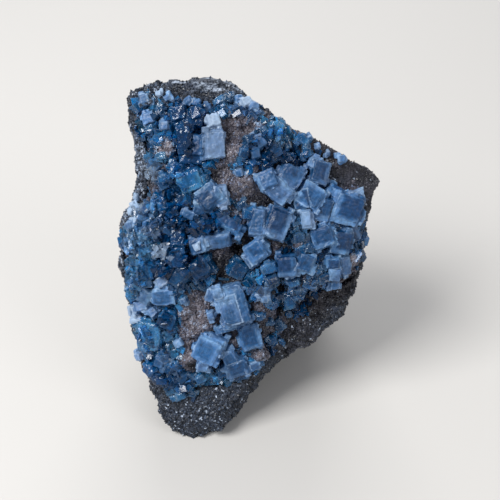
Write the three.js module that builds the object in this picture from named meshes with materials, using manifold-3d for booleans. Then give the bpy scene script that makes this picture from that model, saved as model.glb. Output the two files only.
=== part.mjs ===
// Blue fluorite on drusy quartz and dark host rock: a hand specimen about 66 mm tall.
//
// Every piece is drawn in the frame of the crystal face: u to the right, v up the face and h out of
// it, in millimetres, from the toe of the rock. The face leans back, so one group turns that frame
// upright, and the rock is cut flat where it rests. Spins and tilts are in degrees.
//
// The host rock carries a crust of small quartz crystals, and blue fluorite cubes grew on both.
import * as THREE from "three";
import { ConvexGeometry } from "three/addons/geometries/ConvexGeometry.js";
import { ImprovedNoise } from "three/addons/math/ImprovedNoise.js";
import { mergeVertices } from "three/addons/utils/BufferGeometryUtils.js";
import Module from "manifold-3d";

const wasm = await Module();
wasm.setup();

// ---- Driving dimensions ----

const FACE_LEAN = 24; // how far the crystal face leans back from upright
const SEAT_GAP = 0.35; // left between a piece and what it grew on
const STEP = 0.4; // height of a growth step
const SUNK = 1.3; // how deep a cube sits in what it grows on
const CRUST_THICK = 3.1; // how far the crust stands above the rock in the middle of the face
const CRUST_THIN = 1.4; // the same at the crust's edge
const BED_DEPTH = 2; // how deep the crust lies in the rock
const BROAD_LUMP = 5; // how far apart the broad lumps of the rock and the crust lie
const SMALL_LUMP = 2.2; // the same for the small lumps between them
const ROCK_ROUGH = 1.1; // height of the rock's lumps
const CRUST_ROUGH = 0.3; // the same on the crust's edges
const QUARTZ_TIPS = 18; // larger quartz crystals that stand out of the crust
const SLIVER = 0.02; // detail finer than this is cleaned away after a cut
const COARSE = 0.1; // the same for the rock and the crust, well under the seat gap
const FACE_CENTRE = [12, 40]; // u, v from which the rock's outlines are measured

// The rock's outline where the crystal face ends, anticlockwise from the toe.
const ROCK_FRONT = [
  [0.6, -2.4], [4.8, -1.4], [8.4, 2.6], [11, 7.4], [13, 10.8], [16.2, 13.6], [19, 16], [24.2, 19],
  [29.6, 21.8],
  [32.6, 27.2], [35, 31.6], [36, 38.5], [36.4, 43.5], [36.8, 48.6], [37, 51], [38.8, 51.8],
  [40.2, 54.8], [38.2, 57.2], [31.2, 60.4], [23.2, 64.9], [17.4, 68.1], [12.8, 70.6], [9, 70.8], [4, 70.4],
  [-3, 71.2], [-4.8, 74], [-10.4, 74.2], [-11.8, 70], [-11.6, 65.4], [-10, 61.5], [-10.2, 55.6],
  [-10.8, 50.6], [-12.8, 47.2], [-13.8, 42.4], [-14.2, 38.3], [-13.6, 33], [-12.6, 28.2],
  [-11.6, 24.3], [-11.4, 20.3], [-10.8, 16], [-9, 12.2], [-6.6, 7.6], [-5.8, 2.6], [-3.6, -0.8],
];
// The same outline at the back of the rock, where its top ledge stands higher than the face.
const ROCK_BACK = [
  [0, -3], [8, -2], [15, 4], [22, 12], [28, 19], [31.5, 28], [32, 38], [31.5, 46], [29.5, 52], [25, 57.4],
  [18.6, 63], [13.6, 68], [11.4, 72.4], [8, 76], [4, 78.4], [-1.2, 78], [-4.2, 75.6], [-9, 73.6],
  [-10, 65], [-8.6, 54], [-10, 46], [-11, 36], [-9.5, 24], [-7.5, 12], [-4, 2],
];
// The foot: a lump behind and under the face, as x, y, z above the surface that the rock rests on.
const FOOT = [
  [-3, 3, -1], [4, 5, -1], [10, 17, -1], [21, 31, -1], [30, 43, -1], [26, 47, -1], [-5, 47.5, -1],
  [-10.5, 35, -1], [-6.5, 16, -1], [-6, 15, 12], [8, 14, 10], [20, 26, 13], [28, 38, 17], [24, 43, 27],
  [-3, 42, 30], [-9, 33, 20],
];
// Fracture faces on the back and sides: a point and the way out of the rock, as x, y, z.
const FRACTURES = [
  [[-2, 44.5, 30], [-0.45, 1, 0.1]], [[24, 43, 24], [0.55, 1, 0.25]], [[4, 44, 48], [0.1, 1, 0.55]],
  [[-11.5, 30, 22], [-1, 0.35, -0.25]], [[33, 38, 40], [1, 0.65, 0.1]], [[12, 47, 8], [0.05, 1, -0.3]],
];

// The quartz crust's outline on the face. Left bare are the wing, the toe, the ledge and two patches.
const CRUST_CENTRE = [11, 42];
const CRUST_OUTLINE = [
  [13, 15.2], [15.4, 19.4], [17, 25.5], [19.4, 31.4], [23.5, 33.4], [28.5, 33.5], [33, 33.5], [34, 38.5],
  [34.2, 43.5], [34.8, 49], [34.5, 51.5], [30.5, 53], [25, 54], [22.5, 58], [19.5, 60], [20, 64.5],
  [18.8, 67.2], [15, 68.5], [10, 69.7], [4.5, 69], [-4, 68.5], [-7.5, 66.5], [-6, 62], [-7, 58],
  [-6.5, 51.5], [-10, 49], [-11.8, 43.5], [-12.4, 38.5], [-12, 33.5], [-10.6, 26], [-9.8, 17.5],
  [-8.3, 14], [-5, 10.5], [0.5, 11.6], [4, 12.6], [9, 13],
];
// Hollows between the crystals: u, v, radius and depth.
const PITS = [
  [10.4, 42.2, 2.4, 3.4], [12.6, 39.6, 1.8, 3], [19, 34.8, 2, 2.8], [9, 65, 3, 2.2], [7.5, 52, 2.2, 2],
  [6, 36, 2.6, 1.8], [5, 23.5, 1.8, 2.4], [25.5, 41, 1.8, 2], [22, 55.5, 1.6, 1.6], [15, 60, 2, 1.8],
  [1, 29, 2, 1.4],
];

// ---- The fluorite crystals ----

// Each is u, v, width, length, how far its face stands above the crust, spin, and its tilts to the
// right and up. `steps` is how many growth steps each crystal of a group carries.
const FLUORITE = {
  stepped_crystal: {
    steps: 1,
    cubes: [
      [9.5, 30.7, 5.6, 9, 3.6, 16, 4, 13], [8.5, 29.7, 3.8, 5.8, 4.3, 16, 4, 13],
      [6.4, 33.1, 2.4, 3, 3, 16, 4, 13], [12.7, 23.9, 4.4, 6, 2.4, 14, 8, 5],
      [8, 25.6, 4.2, 1.8, 2.2, 16, 0, 9],
    ],
  },
  plate_crystal: {
    steps: 1,
    cubes: [
      [4.5, 21.4, 5.4, 5.8, 3, -24, -6, 1], [5.8, 22.2, 4.6, 4.4, 2.6, -24, 2, 1],
      [3.3, 17.6, 2.4, 2.2, 2.3, -8, 0, -1],
    ],
  },
  toe_fragments: {
    steps: 0,
    cubes: [
      [8.3, 19.5, 3, 3.8, 2.2, 28, 6, -3], [9.9, 16.6, 5.6, 3.8, 1.9, 18, 10, -7],
      [13.2, 16.7, 3.6, 2.2, 1.4, 18, 14, 1],
    ],
  },
  zoned_cube: {
    steps: 0,
    cubes: [[18, 47.4, 4.6, 6.4, 3.3, -19, 6, 13], [14.4, 47.8, 3.2, 5.8, 2.2, -6, -8, 11]],
  },
  diamond_cube: {
    steps: 1,
    cubes: [[14.4, 42.3, 4.4, 4.2, 2.8, 34, -6, 3], [13.4, 40.4, 2.6, 2.4, 2.2, 34, -6, 3]],
  },
  heart_cluster: {
    steps: 1,
    cubes: [
      [16.3, 55.8, 4, 3.8, 3, 24, -8, 17], [20.3, 56.2, 5, 4.2, 3.4, -28, 6, 15],
      [18, 54.1, 6.2, 4.2, 3.3, -40, 2, 5],
    ],
  },
  striped_cluster: {
    steps: 1,
    cubes: [
      [24.3, 52.6, 5.4, 4.8, 3, -33, 6, 11], [22.9, 51.9, 3.4, 4.2, 2.7, 12, -6, 5],
      [26.7, 50.1, 3.8, 5, 2.4, -16, 4, 5],
    ],
  },
  wing_crystal: {
    steps: 1,
    cubes: [[26.1, 56.7, 3.6, 4.8, 3, -14, 8, 15], [25.1, 58.2, 2.6, 2.4, 2.5, -28, 2, 19]],
  },
  right_cluster: {
    steps: 1,
    cubes: [
      [31.4, 49.8, 7, 6.4, 3, -16, 8, 3], [33.2, 51.5, 3.4, 3, 2.6, 18, 18, 17],
      [29.3, 52.7, 3.6, 2.8, 2.2, -30, 4, 21], [33.5, 48.7, 2.8, 3, 2, 10, 24, -1],
    ],
  },
  right_lower_cluster: {
    steps: 1,
    cubes: [
      [27.1, 44.7, 4.8, 4.6, 2.6, 20, -4, 5], [30.5, 43.3, 4.4, 4.8, 2.9, -10, 6, 1],
      [32.6, 44.4, 3.2, 3.6, 2, 24, 20, 9],
    ],
  },
  twin_cubes: {
    steps: 1,
    cubes: [[20.2, 39.3, 4, 4.6, 2.6, 6, -4, 1], [23.5, 39.9, 3.6, 3.8, 2.7, -20, 6, 3]],
  },
  edge_cubes: {
    steps: 0,
    cubes: [
      [29, 39.3, 3, 2.4, 2.2, 4, 6, 9], [29.3, 37, 2.8, 2.6, 2.4, -8, 8, 1],
      [31.4, 38.6, 2.2, 4.4, 1.6, 8, 22, 5],
    ],
  },
  dark_cube: {
    steps: 0,
    cubes: [[10.3, 38.5, 3.6, 3.6, 2, -26, 10, -1]],
  },
  navy_crystal: {
    steps: 1,
    cubes: [[3.4, 39.1, 4.8, 4, 2.7, 34, -10, -1], [-0.5, 37, 3.2, 5.4, 2.2, -28, -18, 1]],
  },
  lavender_ledge: {
    steps: 1,
    cubes: [
      [6.8, 44.8, 5, 3.2, 2.4, 8, -4, -9], [8.6, 47.4, 5.8, 2.6, 1.8, -28, 4, 19],
      [3, 43.7, 3.6, 3.6, 2.3, 18, -10, 3],
    ],
  },
  round_crystal: {
    steps: 1,
    cubes: [
      [5.2, 52.9, 4.8, 4.8, 3, 38, -4, 13], [7.2, 53.2, 2.6, 4.2, 2.4, 12, 10, 9],
      [3.6, 50.8, 2.8, 2.6, 2.2, -10, -8, -1],
    ],
  },
  deep_glass: {
    steps: 1,
    cubes: [
      [1.6, 56, 4.8, 4.4, 2.6, 22, -6, 5], [-0.8, 57.7, 3, 3, 2.2, -16, -14, 15],
      [3.5, 55.8, 3, 3.4, 2.1, 8, 6, 1],
    ],
  },
  pale_cube: {
    steps: 1,
    cubes: [
      [6, 62.8, 3.9, 5.6, 3.1, 4, 4, 7], [3, 62.4, 3, 4.4, 2.4, -6, -8, 9],
      [5.8, 66.5, 2.6, 2.4, 2.2, 14, 6, 23],
    ],
  },
  night_cluster: {
    steps: 1,
    cubes: [
      [-0.7, 68.1, 3.4, 3, 2, 12, -8, 15], [2.4, 67.4, 3.3, 3.8, 2.1, -12, 4, 17],
      [0.5, 63.6, 3, 6, 2.3, 6, -4, 5],
    ],
  },
  left_glass: {
    steps: 1,
    cubes: [
      [-8.6, 44.3, 4.6, 3.4, 2.2, 14, -18, 17], [-10.4, 42.4, 2.8, 3.2, 1.6, -22, -24, 5],
      [-5.2, 46.1, 3.6, 3, 1.9, 40, -10, 19], [-4, 41.9, 3.8, 2.4, 2, 6, -8, 9],
      [-7, 41.1, 3.8, 3.6, 2, 26, -14, 1],
    ],
  },
  grey_blue_crystal: {
    steps: 0,
    cubes: [[-3.9, 32.7, 5.2, 3.6, 2.3, 6, -10, 1], [-7.8, 32.1, 3.2, 3.4, 1.8, -24, -18, 5]],
  },
  bright_crystal: {
    steps: 1,
    cubes: [[-7, 24, 5.2, 5.6, 2.8, -6, -14, 3], [-8.4, 20.7, 3.4, 3.2, 1.6, 22, -20, -9]],
  },
  dark_glass: {
    steps: 0,
    cubes: [[-3.5, 27.6, 3.4, 4.2, 2.3, -18, -6, 5], [-3.9, 23.7, 2, 2.4, 1.4, 20, 0, 9]],
  },
};
// Smaller crystals, fused to what they grow from: on the crust, and on the bare rock.
const SMALL_ON_CRUST = [
  [-7.4, 36.9, 3.4, 4.2, 2, -30, -14, 3], [-4.2, 35.5, 2.6, 2.2, 1.8, 30, -10, 13],
  [-8.8, 29.1, 3.2, 2.2, 2.2, 8, -16, 21], [-6.6, 28.1, 2.2, 2.4, 2, 42, -10, 23],
  [-2.6, 16.9, 2.8, 2.6, 1.6, 20, -10, -5], [-5.6, 17.5, 2.4, 2.4, 1.4, -20, -18, -1],
  [-0.4, 14.5, 3.8, 2.4, 1.3, -12, -4, -11], [-3.4, 12.9, 2.8, 2.2, 1.2, 18, -12, -15],
  [2.6, 14.3, 2.4, 2, 1.2, 30, 4, -11], [-6.6, 67.1, 2.6, 2.4, 1.9, 18, -10, 15],
  [-4.4, 68.3, 1.9, 1.9, 1.6, -20, -6, 19], [-5.9, 64.8, 2.6, 2.8, 1.8, 34, -12, 5],
  [-3.6, 66.1, 2, 2, 1.4, 0, -6, 9], [17.9, 65.3, 2.4, 2.8, 1.4, -26, 6, 15],
  [16.2, 64.1, 2.2, 2.8, 1.8, -10, 2, 15], [17.4, 62.1, 2.8, 2.8, 1.7, 14, 4, 13],
  [19.1, 60, 3, 2, 1.6, -6, 6, 15], [16.2, 59.7, 2.8, 2.4, 1.5, 24, -4, 11],
  [-1.6, 22.5, 1.7, 1.7, 1.2, 30, 0, 9], [5, 28.7, 1.7, 1.9, 1.4, 12, 0, 13],
  [14.6, 63.4, 2, 2.6, 1.7, 30, 4, 13], [5.2, 33, 2, 2.8, 1.9, -14, -6, 13],
  [21.6, 35.5, 2.6, 1.6, 1.8, 22, 0, 3], [23.9, 48.2, 2.3, 4, 2.3, 8, -8, 9],
];
const SMALL_ON_ROCK = [
  [23, 63.2, 3, 1.9, 1.1, -32, 4, 13], [23.8, 61, 1.9, 2.6, 1.2, 10, 4, 9],
  [30.8, 59.3, 1.6, 1.7, 1, 4, 6, 13], [-7.4, 70.6, 2.3, 2.2, 1.3, 12, -6, 17],
  [20.7, 30.6, 2.2, 3.2, 1.6, 10, 8, 3], [23, 31.9, 1.8, 1.6, 1.2, -18, 8, 9],
  [18.8, 24.9, 1.8, 1.8, 1.1, 34, 10, -1],
];

// ---- Small tools ----

const noise = new ImprovedNoise();
const radians = THREE.MathUtils.degToRad;
const smooth = (x, low, high) => THREE.MathUtils.smoothstep(x, low, high);

/** Lumps about `size` across and at most `depth` high, different for each `seed`. */
function lumps(u, v, h, size, depth, seed) {
  return depth * noise.noise(u / size + seed, v / size - seed, h / size + 2 * seed);
}

/** Repeatable random numbers from 0 to 1. */
function dice(seed) {
  let state = seed;
  return () => {
    state = (state * 1664525 + 1013904223) % 4294967296;
    return state / 4294967296;
  };
}

/** How far `outline` lies from `centre` in the direction `angle`. */
function reach(outline, centre, angle) {
  const [du, dv] = [Math.cos(angle), Math.sin(angle)];
  let found = 0;
  outline.forEach(([u1, v1], i) => {
    const [u2, v2] = outline[(i + 1) % outline.length];
    const [eu, ev] = [u2 - u1, v2 - v1];
    const cross = du * ev - dv * eu;
    const along = ((u1 - centre[0]) * ev - (v1 - centre[1]) * eu) / cross;
    const share = ((u1 - centre[0]) * dv - (v1 - centre[1]) * du) / cross;
    if (along > 0 && share >= -1e-9 && share <= 1 + 1e-9) found = Math.max(found, along);
  });
  return found;
}

/** An anticlockwise outline moved outwards. */
function widened(outline, by) {
  return outline.map(([u, v], i) => {
    const [before, after] = [outline.at(i - 1), outline[(i + 1) % outline.length]];
    const along = new THREE.Vector2(after[0] - before[0], after[1] - before[1]).normalize();
    return [u + along.y * by, v - along.x * by];
  });
}

function solidOf(geometry) {
  const bare = geometry.clone();
  for (const name of Object.keys(bare.attributes)) {
    if (name !== "position") bare.deleteAttribute(name);
  }
  const merged = mergeVertices(bare, 1e-4);
  return new wasm.Manifold(
    new wasm.Mesh({
      numProp: 3,
      vertProperties: merged.attributes.position.array,
      triVerts: new Uint32Array(merged.index.array),
    }),
  );
}

function geometryOf(solid) {
  const mesh = solid.getMesh();
  const geometry = new THREE.BufferGeometry();
  geometry.setAttribute("position", new THREE.BufferAttribute(new Float32Array(mesh.vertProperties), 3));
  geometry.setIndex(new THREE.BufferAttribute(new Uint32Array(mesh.triVerts), 1));
  const faceted = geometry.toNonIndexed();
  faceted.computeVertexNormals();
  return faceted;
}

/** The largest body of a solid, without the crumbs and slivers that a cut leaves. */
function largest(solid, fineness) {
  const bodies = solid.simplify(fineness).decompose();
  return bodies.reduce((a, b) => (a.volume() > b.volume() ? a : b));
}

const union = (solids) => solids.reduce((a, b) => a.add(b));

/** A ball pressed into a block: its +h side fills the front outline and its -h side the back one. */
function pressedBlock({ detail, centre, front, back, frontAt, backAt, shares, rough }) {
  const ball = new THREE.IcosahedronGeometry(1, detail);
  ball.deleteAttribute("normal");
  ball.deleteAttribute("uv");
  const block = mergeVertices(ball, 1e-5);
  const points = block.attributes.position;
  const rim = 1 - 2 * shares.front;
  const hem = rim - 2 * shares.wall;
  const at = (outline, angle, r) => {
    const far = reach(outline, centre, angle) * r;
    return [centre[0] + far * Math.cos(angle), centre[1] + far * Math.sin(angle)];
  };
  for (let i = 0; i < points.count; i++) {
    const height = points.getZ(i);
    const angle = Math.atan2(points.getY(i), points.getX(i));
    let place;
    if (height >= rim) {
      const [u, v] = at(front, angle, Math.sqrt((1 - height) / (1 - rim)));
      place = [u, v, frontAt(u, v)];
    } else if (height <= hem) {
      const [u, v] = at(back, angle, Math.sqrt((1 + height) / (1 + hem)));
      place = [u, v, backAt(u, v)];
    } else {
      const down = (rim - height) / (rim - hem);
      const [u1, v1] = at(front, angle, 1);
      const [u2, v2] = at(back, angle, 1);
      const [h1, h2] = [frontAt(u1, v1), backAt(u2, v2)];
      place = [u1 + (u2 - u1) * down, v1 + (v2 - v1) * down, h1 + (h2 - h1) * down];
    }
    const shifted = place.map((value, axis) => {
      const broad = lumps(...place, BROAD_LUMP, rough, axis + 1);
      return value + broad + lumps(...place, SMALL_LUMP, rough / 2, axis + 1);
    });
    points.setXYZ(i, ...shifted);
  }
  return solidOf(block);
}

// ---- The face frame, and cuts made in the upright frame ----

const upright = new THREE.Matrix4().makeRotationX(radians(90 - FACE_LEAN));
const intoFace = upright.clone().invert();

/** Takes off all that lies beyond a plane given in the upright frame. */
function cutPlane(solid, point, outward) {
  const beyond = 400; // larger than the specimen
  const slab = new THREE.BoxGeometry(beyond, beyond, beyond).translate(0, 0, beyond / 2);
  const turn = new THREE.Quaternion().setFromUnitVectors(
    new THREE.Vector3(0, 0, 1),
    new THREE.Vector3(...outward).normalize(),
  );
  slab.applyQuaternion(turn).translate(...point).applyMatrix4(intoFace);
  return solid.subtract(solidOf(slab));
}

// ---- Host rock: dark, granular and broken, with a wing, a ledge, a toe and a flat underside ----

function rockFront(u, v) {
  const far = Math.hypot((u - 12) / 25, (v - 38) / 36);
  const wing = smooth(u, 18, 24) * smooth(v, 50, 58);
  const hollow = smooth(u, 15, 20) * (1 - smooth(v, 30, 36)) * smooth(v, 12, 18);
  const toe = 1 - smooth(v, 4, 16);
  return 0.6 - 3.2 * Math.min(far, 1.1) ** 3 - 0.8 * wing - 1.6 * hollow + 4 * toe;
}

function rockBack(u, v) {
  return -Math.max(53.6 - 0.62 * v - 0.45 * Math.max(u - 22, 0), 7);
}

function buildRock() {
  const body = pressedBlock({
    detail: 8,
    centre: FACE_CENTRE,
    front: ROCK_FRONT,
    back: ROCK_BACK,
    frontAt: rockFront,
    backAt: rockBack,
    shares: { front: 0.36, wall: 0.32 },
    rough: ROCK_ROUGH,
  });
  const footPoints = FOOT.map((p) => new THREE.Vector3(...p).applyMatrix4(intoFace));
  let rock = body.add(solidOf(new ConvexGeometry(footPoints)));
  for (const [point, outward] of FRACTURES) rock = cutPlane(rock, point, outward);
  return cutPlane(rock, [0, 0, 0], [0, 0, -1]);
}

// ---- Quartz crust: a drusy layer on the face, lumpy and pitted, with points grown out of it ----

function crustTop(u, v) {
  const [across, along] = [u - CRUST_CENTRE[0], v - CRUST_CENTRE[1]];
  const edge = reach(CRUST_OUTLINE, CRUST_CENTRE, Math.atan2(along, across));
  const far = Math.hypot(across, along) / edge;
  const thick = CRUST_THICK + (CRUST_THIN - CRUST_THICK) * smooth(far, 0.7, 1);
  const pitted = PITS.reduce((deep, [pu, pv, radius, depth]) => {
    const near = Math.hypot(u - pu, v - pv) / radius;
    return deep + depth * (1 - smooth(near, 0.3, 1.2));
  }, 0);
  const lumpy = lumps(u, v, 0, BROAD_LUMP, 1.5, 7) + lumps(u, v, 0, SMALL_LUMP, 0.7, 9);
  return rockFront(u, v) + thick - pitted + lumpy;
}

/** The tip of a six-sided quartz crystal that stands on the crust. */
function quartzTip(u, v, width, spin, tilt) {
  const tip = new THREE.ConeGeometry(width / 2, width * 1.2, 6);
  tip.translate(0, width * 0.3, 0).rotateX(Math.PI / 2);
  tip.applyQuaternion(new THREE.Quaternion().setFromEuler(new THREE.Euler(tilt[0], tilt[1], spin)));
  return solidOf(tip.translate(u, v, crustTop(u, v)));
}

/** The crust's block, or the bed cut for it in the rock, which leaves a gap of `spare` under it. */
function crustBlock(spare) {
  const outline = widened(CRUST_OUTLINE, 2 * spare);
  return pressedBlock({
    detail: 7,
    centre: CRUST_CENTRE,
    front: outline,
    back: outline,
    frontAt: (u, v) => crustTop(u, v) + 8 * spare, // the bed is open above the crust
    backAt: (u, v) => rockFront(u, v) - BED_DEPTH - spare,
    shares: { front: 0.68, wall: 0.12 },
    rough: CRUST_ROUGH,
  });
}

function buildCrust() {
  const roll = dice(41);
  const tips = [];
  while (tips.length < QUARTZ_TIPS) {
    const [angle, far] = [roll() * 2 * Math.PI, Math.sqrt(roll()) * 0.9];
    const from = reach(CRUST_OUTLINE, CRUST_CENTRE, angle) * far;
    const [u, v] = [CRUST_CENTRE[0] + from * Math.cos(angle), CRUST_CENTRE[1] + from * Math.sin(angle)];
    tips.push(quartzTip(u, v, 1.6 + roll() * 1.2, roll() * 3, [roll() - 0.5, roll() - 0.5]));
  }
  return crustBlock(0).add(union(tips));
}

// ---- Fluorite: cubes and stepped groups of cubes ----

/** One cube, sunk a little into what it grows on; `grown` makes it larger on every side. */
function cube([u, v, width, length, rise, spin, right, up], groundAt, grown) {
  const box = new THREE.BoxGeometry(width + 2 * grown, length + 2 * grown, rise + SUNK + 2 * grown);
  box.translate(0, 0, (rise - SUNK) / 2);
  const turn = new THREE.Euler(radians(-up), radians(right), radians(spin), "XYZ");
  box.applyQuaternion(new THREE.Quaternion().setFromEuler(turn));
  return box.translate(u, v, groundAt(u, v));
}

/** A crystal with its growth steps: plates that rise above its face, each towards one corner. */
function withSteps(crystal, steps, roll) {
  const [u, v, width, length, rise, spin, right, up] = crystal;
  const [c, s] = [Math.cos(radians(spin)), Math.sin(radians(spin))];
  const all = [crystal];
  for (let i = 1; i <= steps; i++) {
    const size = 0.85 - 0.2 * i + 0.1 * roll();
    const aside = 0.8 * (1 - size) / 2;
    const across = (roll() < 0.5 ? -aside : aside) * width;
    const along = (roll() < 0.5 ? -aside : aside) * length;
    const place = [u + across * c - along * s, v + across * s + along * c];
    all.push([...place, width * size, length * size, rise + STEP * i, spin, right, up]);
  }
  return all;
}

/** The hollow that a group grew in: the hull round its cubes, with the gap added. */
function seatOf(cubes) {
  const corners = cubes.flatMap((c) => {
    const { array } = cube(c, crustTop, SEAT_GAP).attributes.position;
    return Array.from({ length: array.length / 3 }, (_, i) => new THREE.Vector3().fromArray(array, 3 * i));
  });
  return solidOf(new ConvexGeometry(corners));
}

/** Every group as a solid, clear of the groups before it, and the seat that it needs. */
function buildFluorite() {
  const built = [];
  for (const [name, { steps, cubes }] of Object.entries(FLUORITE)) {
    const roll = dice(1000 + built.length);
    const all = cubes.flatMap((crystal) => withSteps(crystal, steps, roll));
    let solid = union(all.map((c) => solidOf(cube(c, crustTop, 0))));
    for (const earlier of built) solid = solid.subtract(earlier.room);
    const room = union(all.map((c) => solidOf(cube(c, crustTop, SEAT_GAP))));
    built.push({ name, solid: largest(solid, SLIVER), room, seat: seatOf(all) });
  }
  return built;
}

/** Small crystals, fused to the crust or the rock that they grow from. */
function smallCrystals(list, groundAt, grown) {
  return union(list.map((c) => solidOf(cube(c, groundAt, grown))));
}

// ---- The specimen ----

const FINISHES = {
  rock: new THREE.MeshStandardMaterial({ color: 0x2b2c31, roughness: 0.85, metalness: 0 }),
  quartz: new THREE.MeshStandardMaterial({ color: 0x7a6f6c, roughness: 0.6, metalness: 0 }),
  fluorite: new THREE.MeshStandardMaterial({ color: 0x4f7fb8, roughness: 0.35, metalness: 0 }),
};

function piece(name, solid, finish) {
  const mesh = new THREE.Mesh(geometryOf(solid), finish);
  mesh.name = name;
  return mesh;
}

const crystals = buildFluorite();
const seats = union(crystals.map(({ seat }) => seat));
const studded = buildCrust().add(smallCrystals(SMALL_ON_CRUST, crustTop, 0));
const crust = largest(studded.subtract(seats), COARSE);
const bed = union([crustBlock(SEAT_GAP), seats, smallCrystals(SMALL_ON_CRUST, crustTop, SEAT_GAP)]);
const rock = largest(buildRock().add(smallCrystals(SMALL_ON_ROCK, rockFront, 0)).subtract(bed), COARSE);
const leaning = new THREE.Group();
leaning.rotation.x = radians(90 - FACE_LEAN);
leaning.add(piece("host_rock", rock, FINISHES.rock));
leaning.add(piece("quartz_crust", crust, FINISHES.quartz));
for (const { name, solid } of crystals) {
  leaning.add(piece("fluorite_" + name, solid, FINISHES.fluorite));
}

// The origin is the middle of the underside of the whole specimen.
const specimen = new THREE.Group();
specimen.add(leaning);
const extent = new THREE.Box3().setFromObject(specimen, true);
const middle = extent.getCenter(new THREE.Vector3());
leaning.position.set(-middle.x, -middle.y, 0);

export default specimen;
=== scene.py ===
import math
import random

import bmesh
import bpy
import numpy as np
from mathutils import Matrix, Vector, noise
from mathutils.bvhtree import BVHTree
from mathutils.geometry import convex_hull_2d


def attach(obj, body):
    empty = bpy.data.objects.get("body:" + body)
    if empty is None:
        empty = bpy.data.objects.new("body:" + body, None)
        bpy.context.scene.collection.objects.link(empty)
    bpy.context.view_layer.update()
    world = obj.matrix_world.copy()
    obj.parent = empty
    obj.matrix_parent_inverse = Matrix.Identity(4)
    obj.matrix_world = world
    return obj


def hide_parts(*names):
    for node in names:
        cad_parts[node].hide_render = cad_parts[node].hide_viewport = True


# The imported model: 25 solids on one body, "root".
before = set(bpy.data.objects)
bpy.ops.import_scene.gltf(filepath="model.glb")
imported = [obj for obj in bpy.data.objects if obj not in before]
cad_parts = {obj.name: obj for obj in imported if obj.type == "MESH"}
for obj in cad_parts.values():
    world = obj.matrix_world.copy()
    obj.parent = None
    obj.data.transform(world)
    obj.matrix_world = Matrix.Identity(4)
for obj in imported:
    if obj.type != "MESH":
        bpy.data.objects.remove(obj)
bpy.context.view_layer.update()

# ---- Host rock ----
# The dark matrix that everything grew on: a fine-grained black rock full of small shiny grains.
# It broke out of its vein in flat fractures, with a thick wing on the right, a ledge at the top
# and a rounded toe, and the underside is flat where the specimen rests.

# The crystal face leans back. Shapes are drawn in its own millimetres: u to the right, v up the
# face and h out of it, from the toe of the rock.
FACE_LEAN = 24  # degrees back from upright
TOE = Vector((-0.012645, -0.023056, 0))
FACE = (
    Matrix.Translation(TOE)
    @ Matrix.Rotation(math.radians(90 - FACE_LEAN), 4, "X")
    @ Matrix.Scale(0.001, 4)
)
ROCK_VOXEL = 0.38  # fineness of the rock's mesh

# How wide the lumps, grains and knobs of its surface are.
BROAD_LUMPS = 3.4
SMALL_LUMPS = 1.4
ROCK_GRAINS = 1.3
BROWN_KNOBS = 2.7


def linked(name, mesh):
    """A new piece that holds the mesh."""
    piece = bpy.data.objects.new(name, mesh)
    bpy.context.scene.collection.objects.link(piece)
    return piece


def copy_of(name, node):
    """A copy of a solid in the face's millimetres, with its loose triangles merged."""
    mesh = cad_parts[node].data.copy()
    mesh.materials.clear()
    mesh.transform(FACE.inverted())
    form = bmesh.new()
    form.from_mesh(mesh)
    bmesh.ops.remove_doubles(form, verts=form.verts, dist=0.002)
    form.to_mesh(mesh)
    form.free()
    return linked(name, mesh)


def settled(piece):
    """Turns what a piece's modifiers make into its plain mesh, and takes them off."""
    graph = bpy.context.evaluated_depsgraph_get()
    made = bpy.data.meshes.new_from_object(piece.evaluated_get(graph))
    piece.modifiers.clear()
    spent = piece.data
    piece.data = made
    bpy.data.meshes.remove(spent)
    return piece


def remeshed(piece, voxel):
    """Rebuilds a piece as one even skin."""
    even = piece.modifiers.new("even skin", "REMESH")
    even.mode = "VOXEL"
    even.voxel_size = voxel
    return settled(piece)


def raised(piece, height_at):
    """Moves each point of a piece along its normal."""
    places = [v.co + v.normal * height_at(v.co, v.normal) for v in piece.data.vertices]
    for vertex, place in zip(piece.data.vertices, places):
        vertex.co = place
    piece.data.update()


def grains(place, size):
    """Rounded grains about `size` across: 1 at the middle of a grain, 0 between them."""
    near, far = noise.voronoi(place / size)[0][:2]
    return min(1.0, (far - near) * 2.2)


def smooth(x, low, high):
    """0 up to `low`, 1 from `high` on, and a smooth rise between them."""
    share = min(max((x - low) / (high - low), 0.0), 1.0)
    return share * share * (3 - 2 * share)


def marked(piece, name, value_at):
    """Keeps a number at each point of a piece for its material and for what grows on it."""
    values = piece.data.attributes.new(name, "FLOAT", "POINT")
    values.data.foreach_set("value", [value_at(v.co, v.normal) for v in piece.data.vertices])


def seated(piece, finish, slot, *replaced):
    """Stands a finished piece in the model's frame and says what it is part of."""
    piece.data.transform(FACE)
    for vertex in piece.data.vertices:
        vertex.co.z = max(vertex.co.z, 0)
    piece.data.update()
    if finish:
        piece.data.materials.clear()
        piece.data.materials.append(finish)
    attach(piece, "root")
    if replaced:
        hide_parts(*replaced)


def near_any(place, spots):
    """How strongly the spots of a list reach a point of the face, 0 to 1."""
    found = 0.0
    for u, v, radius, amount in spots:
        far = math.hypot(place.x - u, place.y - v) / radius
        found = max(found, amount * (1 - smooth(far, 0.5, 1.1)))
    return found


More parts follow.
